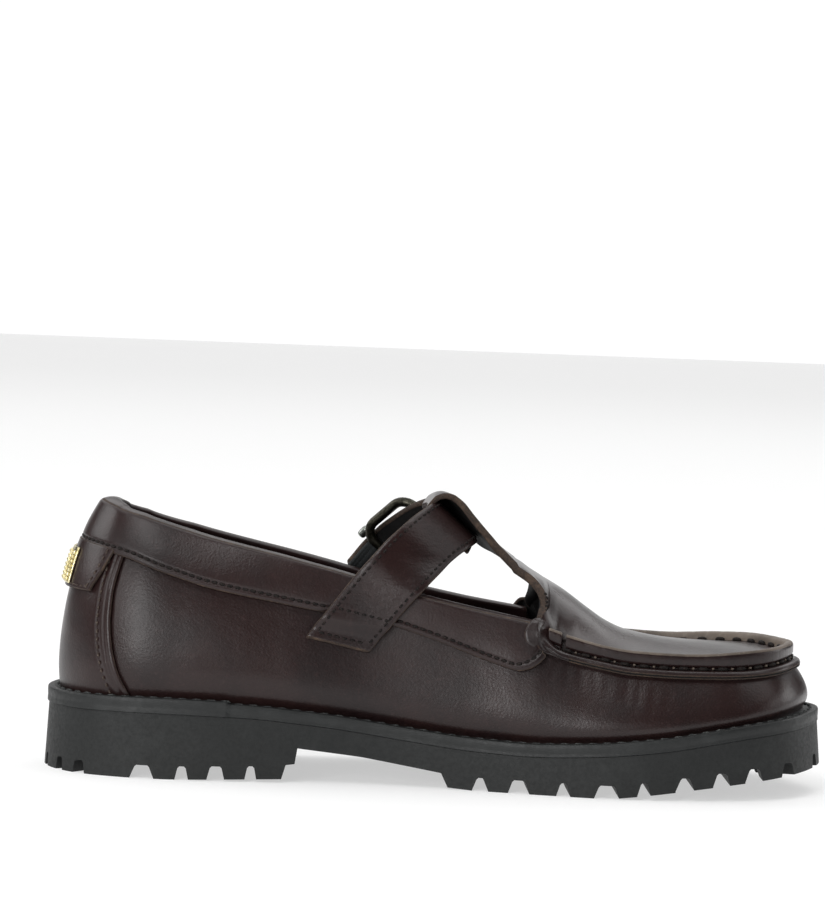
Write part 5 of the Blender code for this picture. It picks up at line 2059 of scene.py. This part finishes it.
@dataclass
class InstepStrap:
    """Strap over the instep with its buckle and elastic."""

    finishes: Finishes
    width: float = 20.0
    thick: float = 2.2
    pitch: float = 2.7
    elastic: float = 1.6
    buckle_width: float = 25.6
    wire: float = 3.4
    prong: float = 1.8
    bar_place: float = 42.0
    rim_place: float = 23.2
    bar_lift: float = 0.8
    rim_lift: float = 3.9
    corner: float = 5.0
    slant: float = 0.54
    slant_start: float = 50.0
    slant_ease: float = 18.0
    sewn_end: float = 73.0
    tail_end: float = 58.0
    elastic_end: float = 70.0
    end_rows: tuple[float, float] = (60.2, 70.8)
    edge_inset: float = 1.7
    rib_pitch: float = 1.7
    rib_depth: float = 0.16
    STITCH = Stitch(1.8, 0.42)

    def grid(self, stations: Sequence[tuple[Side, float, float, float, float]], cells: int,
             half: float, thick: float, rib: float = 0.0) -> ndarray:
        """Outer grid of a band.

        Args:
            stations: side, length, lift, slant and point of its cross lines.
            cells: points of a cross line.
            half: half of its width.
            thick: its thickness.
            rib: depth of its ribs.

        Returns:
            The points.
        """
        rows = []
        across = half * np.sin(np.linspace(-math.pi / 2, math.pi / 2, cells))
        for side, s, lift, slant, point in stations:
            place = np.abs(s + slant * across - point * np.abs(across))
            soft = 0.35 * np.clip(1 - (half - np.abs(across)) / 1.2, 0, 1) ** 2
            ribs = rib * np.cos(2 * math.pi * across / self.rib_pitch)
            rows.append(LAST.strap(side, place, across, lift + thick - soft + ribs))
        return np.array(rows)

    def slant_at(self, s: float) -> float:
        """How much a cross line of the band slants near its sewn end."""
        return self.slant * float(smooth((s - self.slant_start) / self.slant_ease))

    def strap(self) -> Object:
        """The leather strap.

        Returns:
            The piece.
        """
        medial = [(Side.MEDIAL, s, 0.0, -self.slant_at(s), 0.0) for s in np.linspace(self.sewn_end, 0.6, 100)]
        tail = [(Side.LATERAL, s, float(TAIL.read("lift", s)), 0.0, 0.45 * float(smooth((s - 46) / 12)))
                for s in np.linspace(0.1, self.tail_end, 80)]
        grid = self.grid(medial + tail, 28, self.width / 2, self.thick)
        # The strap's back is the near-black backing, partly painted shade under it
        return Sheet(grid, self.thick, flip=True, bulge=0.7).build(
            "instep_strap", self.finishes.strap, self.finishes.backing_and_shade, self.finishes.edge)

    def stitches(self) -> Object:
        """Stitch rows along both edges of the strap and across its sewn end.

        Returns:
            The piece.
        """
        rows = []
        for reach in (self.edge_inset - self.width / 2, self.width / 2 - self.edge_inset):
            s = np.linspace(self.end_rows[1] - self.slant * reach, 5.0, 200)
            rows.append((s, reach + 0 * s))
        across = np.linspace(-8.0, 8.0, 40)
        rows += [(place - self.slant * across, across) for place in self.end_rows]
        made = []
        for s, across in rows:
            line, above = (LAST.strap(Side.MEDIAL, s, across, self.thick + lift + 0 * s)
                           for lift in (0.02, 1.0))
            made.append(Places.march(line, unit(above - line), self.pitch))
        return self.STITCH.lay("strap_stitches", made[0].joined(*made[1:]), self.finishes.thread)

    def elastic_band(self) -> Object:
        """Ribbed elastic from the lateral wall to the buckle's bar.

        Returns:
            The piece.
        """
        steps = [(Side.LATERAL, s, 0.0, self.slant_at(s), 0.0)
                 for s in np.linspace(self.bar_place + 1.8, self.elastic_end, 50)]
        grid = self.grid(steps, 110, self.width / 2 - 0.8, self.elastic, self.rib_depth)
        return Sheet(grid, self.elastic, flip=True, bulge=0.7).build(
            "strap_elastic_web", self.finishes.elastic, self.finishes.elastic, self.finishes.elastic)

    def tube(self, name: str, path: ndarray, radius: ndarray, made_of: Material,
             closed: bool = False, sides: int = 20) -> Object:
        """A round bar along a path.

        Args:
            name: the piece's name.
            path: points of its middle line.
            radius: its radius.
            made_of: its material.
            closed: whether it runs round.
            sides: points of a ring.

        Returns:
            The piece.
        """
        if closed:
            along = unit(np.roll(path, -1, 0) - np.roll(path, 1, 0))
        else:
            along = unit(np.gradient(path, axis=0))
        across = unit(np.cross(along, (0.3, 1.0, 0.2)))
        up = np.cross(along, across)
        turn = 2 * math.pi * np.arange(sides) / sides
        rings = path[:, None] + np.broadcast_to(radius, len(path))[:, None, None] * (
            across[:, None] * np.cos(turn)[:, None] + up[:, None] * np.sin(turn)[:, None])
        return sweep(name, rings, (made_of,), closed=closed, angle=60)

    def frame(self) -> Object:
        """The rounded frame.

        Returns:
            The piece.
        """
        half, corner = self.buckle_width / 2, self.corner
        middle = (self.bar_place + self.rim_place) / 2
        reach = (self.bar_place - self.rim_place) / 2
        path = []
        for sx, ss, start in ((1, 1, 0), (-1, 1, 90), (-1, -1, 180), (1, -1, 270)):
            for turn in np.radians(start + np.linspace(0, 90, 9)):
                across = sx * (half - corner) + corner * math.cos(turn)
                path.append((across, middle + ss * (reach - corner) + corner * math.sin(turn)))
        across, s = np.array(path).T
        share = smooth((s - self.rim_place - 3) / (self.bar_place - self.rim_place - 5))
        out = self.rim_lift + (self.bar_lift - self.rim_lift) * share
        line = LAST.strap(Side.LATERAL, s, across, out)
        return self.tube("buckle_frame_metal", line, self.wire / 2, self.finishes.frame_metal, True)

    def bar_end(self) -> Object:
        """The worn, bright end of the frame's bar on its heel side.

        Returns:
            The piece.
        """
        s = np.linspace(40.2, 44.8, 25)
        u = np.linspace(-1, 1, 25)
        line = LAST.strap(Side.LATERAL, s, -12.6 + 0 * s, 2.2 + 0 * s)
        radius = 1.55 * (1 - np.abs(u) ** 5) ** 0.5 + 0.02
        return self.tube("buckle_bar_end", line, radius, self.finishes.prong_metal)

    def prong_bar(self) -> Object:
        """The prong over the frame.

        Returns:
            The piece.
        """
        top = self.rim_lift + self.wire / 2 + self.prong / 2 + 0.3
        steps = np.array(((39.5, 1.4), (38.2, 2.8), (35.4, 4.6), (32.4, 5.6), (27.6, top),
                          (self.rim_place, top + 0.1), (self.rim_place - 1.8, top - 0.2)))
        u = np.linspace(0, len(steps) - 1, 37)
        s, out = along_line(u, np.arange(len(steps)), steps).T
        line = LAST.strap(Side.LATERAL, s, 0 * s, out)
        return self.tube("buckle_prong_metal", line, self.prong / 2, self.finishes.prong_metal)

    def build(self) -> list[Object]:
        """Build strap, elastic and buckle."""
        return [place_piece(self.strap(), "strap_leather", "strap"),
                place_piece(self.stitches(), "strap_leather"),
                place_piece(self.elastic_band(), "strap_elastic", "buckle_strap"),
                place_piece(self.frame(), "frame_nickel", "buckle_frame"),
                place_piece(self.bar_end(), "prong_nickel"),
                place_piece(self.prong_bar(), "prong_nickel", "buckle_prong")]


@dataclass
class Footbed:
    """Leather covered footbed."""

    finishes: Finishes
    thick: float = 4.1
    plate: float = 3.4
    hollow: float = 0.8
    edge_gap: float = 2.6
    columns: int = 160
    cells: int = 40

    def build(self) -> list[Object]:
        """A hollow plate inside the upper.

        Returns:
            The piece.
        """
        t = np.linspace(0, 1, self.columns)
        sides = []
        for side in Side:
            x = LAST.at(side, t)[0][:, 0]
            sides.append(LAST.at(side, t, -(LAST.welt_width(x) + self.edge_gap))[0])
        w = np.linspace(0, 1, self.cells)[None, :, None]
        plan = sides[0][:, None] * (1 - w) + sides[1][:, None] * w
        share = 4 * w[..., 0] * (1 - w[..., 0])
        z = LAST.feather(plan[..., 0]) + self.thick - self.hollow * share
        grid = np.concatenate([plan, z[..., None]], -1)[1:-1]
        bed = Sheet(grid, self.plate).build(
            "footbed", self.finishes.footbed, self.finishes.footbed, self.finishes.footbed)
        return [place_piece(bed, "insole_leather", "insole")]


@dataclass
class Studio:
    """Pale floor, soft light and the camera at the photograph's angle."""

    distance: float = 1650.0
    elevation: float = 6.4
    yaw: float = -3.0
    roll: float = 2.3
    target: tuple[float, float, float] = (0.0, 0.0, 45.0)
    aim_right: float = -8.66
    aim_up: float = 68.0
    focal_pixels: float = 4730.0
    picture_height: float = 900.0
    sensor: float = 36.0
    ambient: float = 0.03
    sky: float = 1.3
    table_glow: float = 0.52
    light_distance: float = 2.1
    # Lights: name, azimuth, elevation, half of the angles they fill sideways and upward, radiance
    LIGHTS = (
        ("left_softbox", -30, 14, 10, 11, 7.5),
        ("left_fill", -8, 13, 12, 8, 1.4),
        ("left_side_softbox", -54, 20, 11, 12, 2.0),
        ("left_high_softbox", -27, 56, 14, 11, 5.0),
        ("far_left_softbox", -105, 28, 14, 14, 3.5),
        ("right_side_softbox", 82, 14, 12, 11, 1.4),
        ("toe_softbox", 112, 12, 12, 10, 2.2),
        ("right_upper_softbox", 75, 42, 13, 12, 1.1),
        ("top_softbox", 95, 66, 17, 14, 1.8),
        ("back_right_softbox", 140, 28, 13, 11, 0.8),
        ("back_softbox", 180, 30, 30, 9, 0.85),
    )
    backdrop: tuple[float, float, float] = (1500.0, 2990.0, 700.0)
    floor_half: float = 3000.0
    sky_spread: float = 70.0
    sky_tilt: tuple[float, float] = (-26.0, -8.0)

    def camera(self) -> None:
        """Place the camera."""
        a, e, r = map(math.radians, (self.yaw, self.elevation, self.roll))
        level = Vector((math.cos(a), math.sin(a), 0))
        look = Vector((-math.sin(a) * math.cos(e), math.cos(a) * math.cos(e), -math.sin(e)))
        rise = level.cross(look)
        right = level * math.cos(r) + rise * math.sin(r)
        up = rise * math.cos(r) - level * math.sin(r)
        target = Vector(self.target)
        place = target - look * self.distance
        look = (target + right * self.aim_right + up * self.aim_up - place).normalized()
        up = right.cross(look).normalized()
        right = look.cross(up)
        data = bpy.data.cameras.new("camera")
        data.sensor_width = self.sensor
        data.lens = self.focal_pixels / self.picture_height * self.sensor
        data.clip_start, data.clip_end = 0.05, 20
        camera = bpy.data.objects.new("camera", data)
        bpy.context.collection.objects.link(camera)
        turn = Matrix((right, up, -look)).transposed().to_4x4()
        camera.matrix_world = Matrix.Translation(place * MM) @ turn
        bpy.context.scene.camera = camera

    def light(self, name: str, azimuth: float, elevation: float, wide: float, high: float,
              radiance: float) -> None:
        """A soft rectangular light that faces the shoe.

        Args:
            name: its name.
            azimuth: its direction from the front, positive to the right.
            elevation: its angle above the table.
            wide: half of the angle it fills sideways.
            high: half of the angle it fills upward.
            radiance: how bright its face is; white paper on the table is 1.
        """
        across, rise = math.radians(azimuth), math.radians(elevation)
        level = math.cos(rise)
        toward = Vector((math.sin(across) * level, -math.cos(across) * level, math.sin(rise)))
        data = bpy.data.lights.new(name, "AREA")
        data.shape = "RECTANGLE"
        data.size = 2 * self.light_distance * math.tan(math.radians(wide))
        data.size_y = 2 * self.light_distance * math.tan(math.radians(high))
        data.energy = math.pi * data.size * data.size_y * radiance
        lamp = bpy.data.objects.new(name, data)
        lamp.location = toward * self.light_distance + Vector((0, 0, 0.05))
        lamp.rotation_mode = "QUATERNION"
        lamp.rotation_quaternion = (-toward).to_track_quat("-Z", "Y")
        bpy.context.collection.objects.link(lamp)

    def build(self) -> None:
        """Build floor, lights, world and camera."""
        p = Paint("studio_paper")
        # Paper pulp clumps by some millimetres, which gives its tone the faintest unevenness
        fine = p.add("TexNoise", None, p.blobs(3.0, 2.0, 0.55))
        clump = p.add("MapRange", EASED, {"Value": fine, "From Min": 0.3, "From Max": 0.7})
        tone = p.add("Mix", COLOURS, {"Factor": clump, "A": "#bcbcbc", "B": "#b9b9b9"})
        paper = p.finish({"Base Color": tone, "Roughness": 0.9, "Specular IOR Level": 0.1,
                                    "Emission Color": "#ffffff", "Emission Strength": self.table_glow})
        edge = self.floor_half
        corners = np.array([(-edge, -edge, 0), (edge, -edge, 0), (edge, edge, 0), (-edge, edge, 0)])
        floor = new_object("studio_floor", corners, [(0, 1, 2, 3)], (paper,))
        glow = Paint("lit_backdrop").finish({"Base Color": "#000000", "Emission Color": "#ffffff",
                                             "Emission Strength": 1.0})
        wide, far, high = self.backdrop
        corners = np.array([(-wide, far, 0), (wide, far, 0), (wide, far, high), (-wide, far, high)])
        backdrop = new_object("studio_backdrop", corners, [(0, 1, 2, 3)], (glow,))
        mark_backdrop(floor, backdrop)
        world = bpy.data.worlds.new("studio")
        world.use_nodes = True
        background = world.node_tree.nodes["Background"]
        background.inputs["Color"].default_value = (1, 1, 1, 1)
        background.inputs["Strength"].default_value = self.ambient
        bpy.context.scene.world = world
        for row in self.LIGHTS:
            self.light(*row)
        sun = bpy.data.lights.new("sky_panel", "SUN")
        sun.energy = self.sky
        sun.angle = math.radians(self.sky_spread)
        sky = bpy.data.objects.new("sky_panel", sun)
        sky.rotation_euler = (*map(math.radians, self.sky_tilt), 0)
        bpy.context.collection.objects.link(sky)
        bpy.context.scene.view_settings.view_transform = "Standard"
        self.camera()


def main() -> None:
    """Build the shoe piece by piece, then its studio."""
    logging.basicConfig(level=logging.INFO, format="%(message)s")
    finishes = Finishes()
    for kind in (Sole, Welt, Footbed, Upper, CollarBand, HeelPieces, InstepStrap):
        for piece in kind(finishes).build():
            log.info("%s: %s, %d faces", kind.__name__, piece.name, len(piece.data.polygons))
    Studio().build()
    corners = [[list(corner) for corner in box] for box in (START_BOUNDS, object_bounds())]


if __name__ == "__main__":
    main()
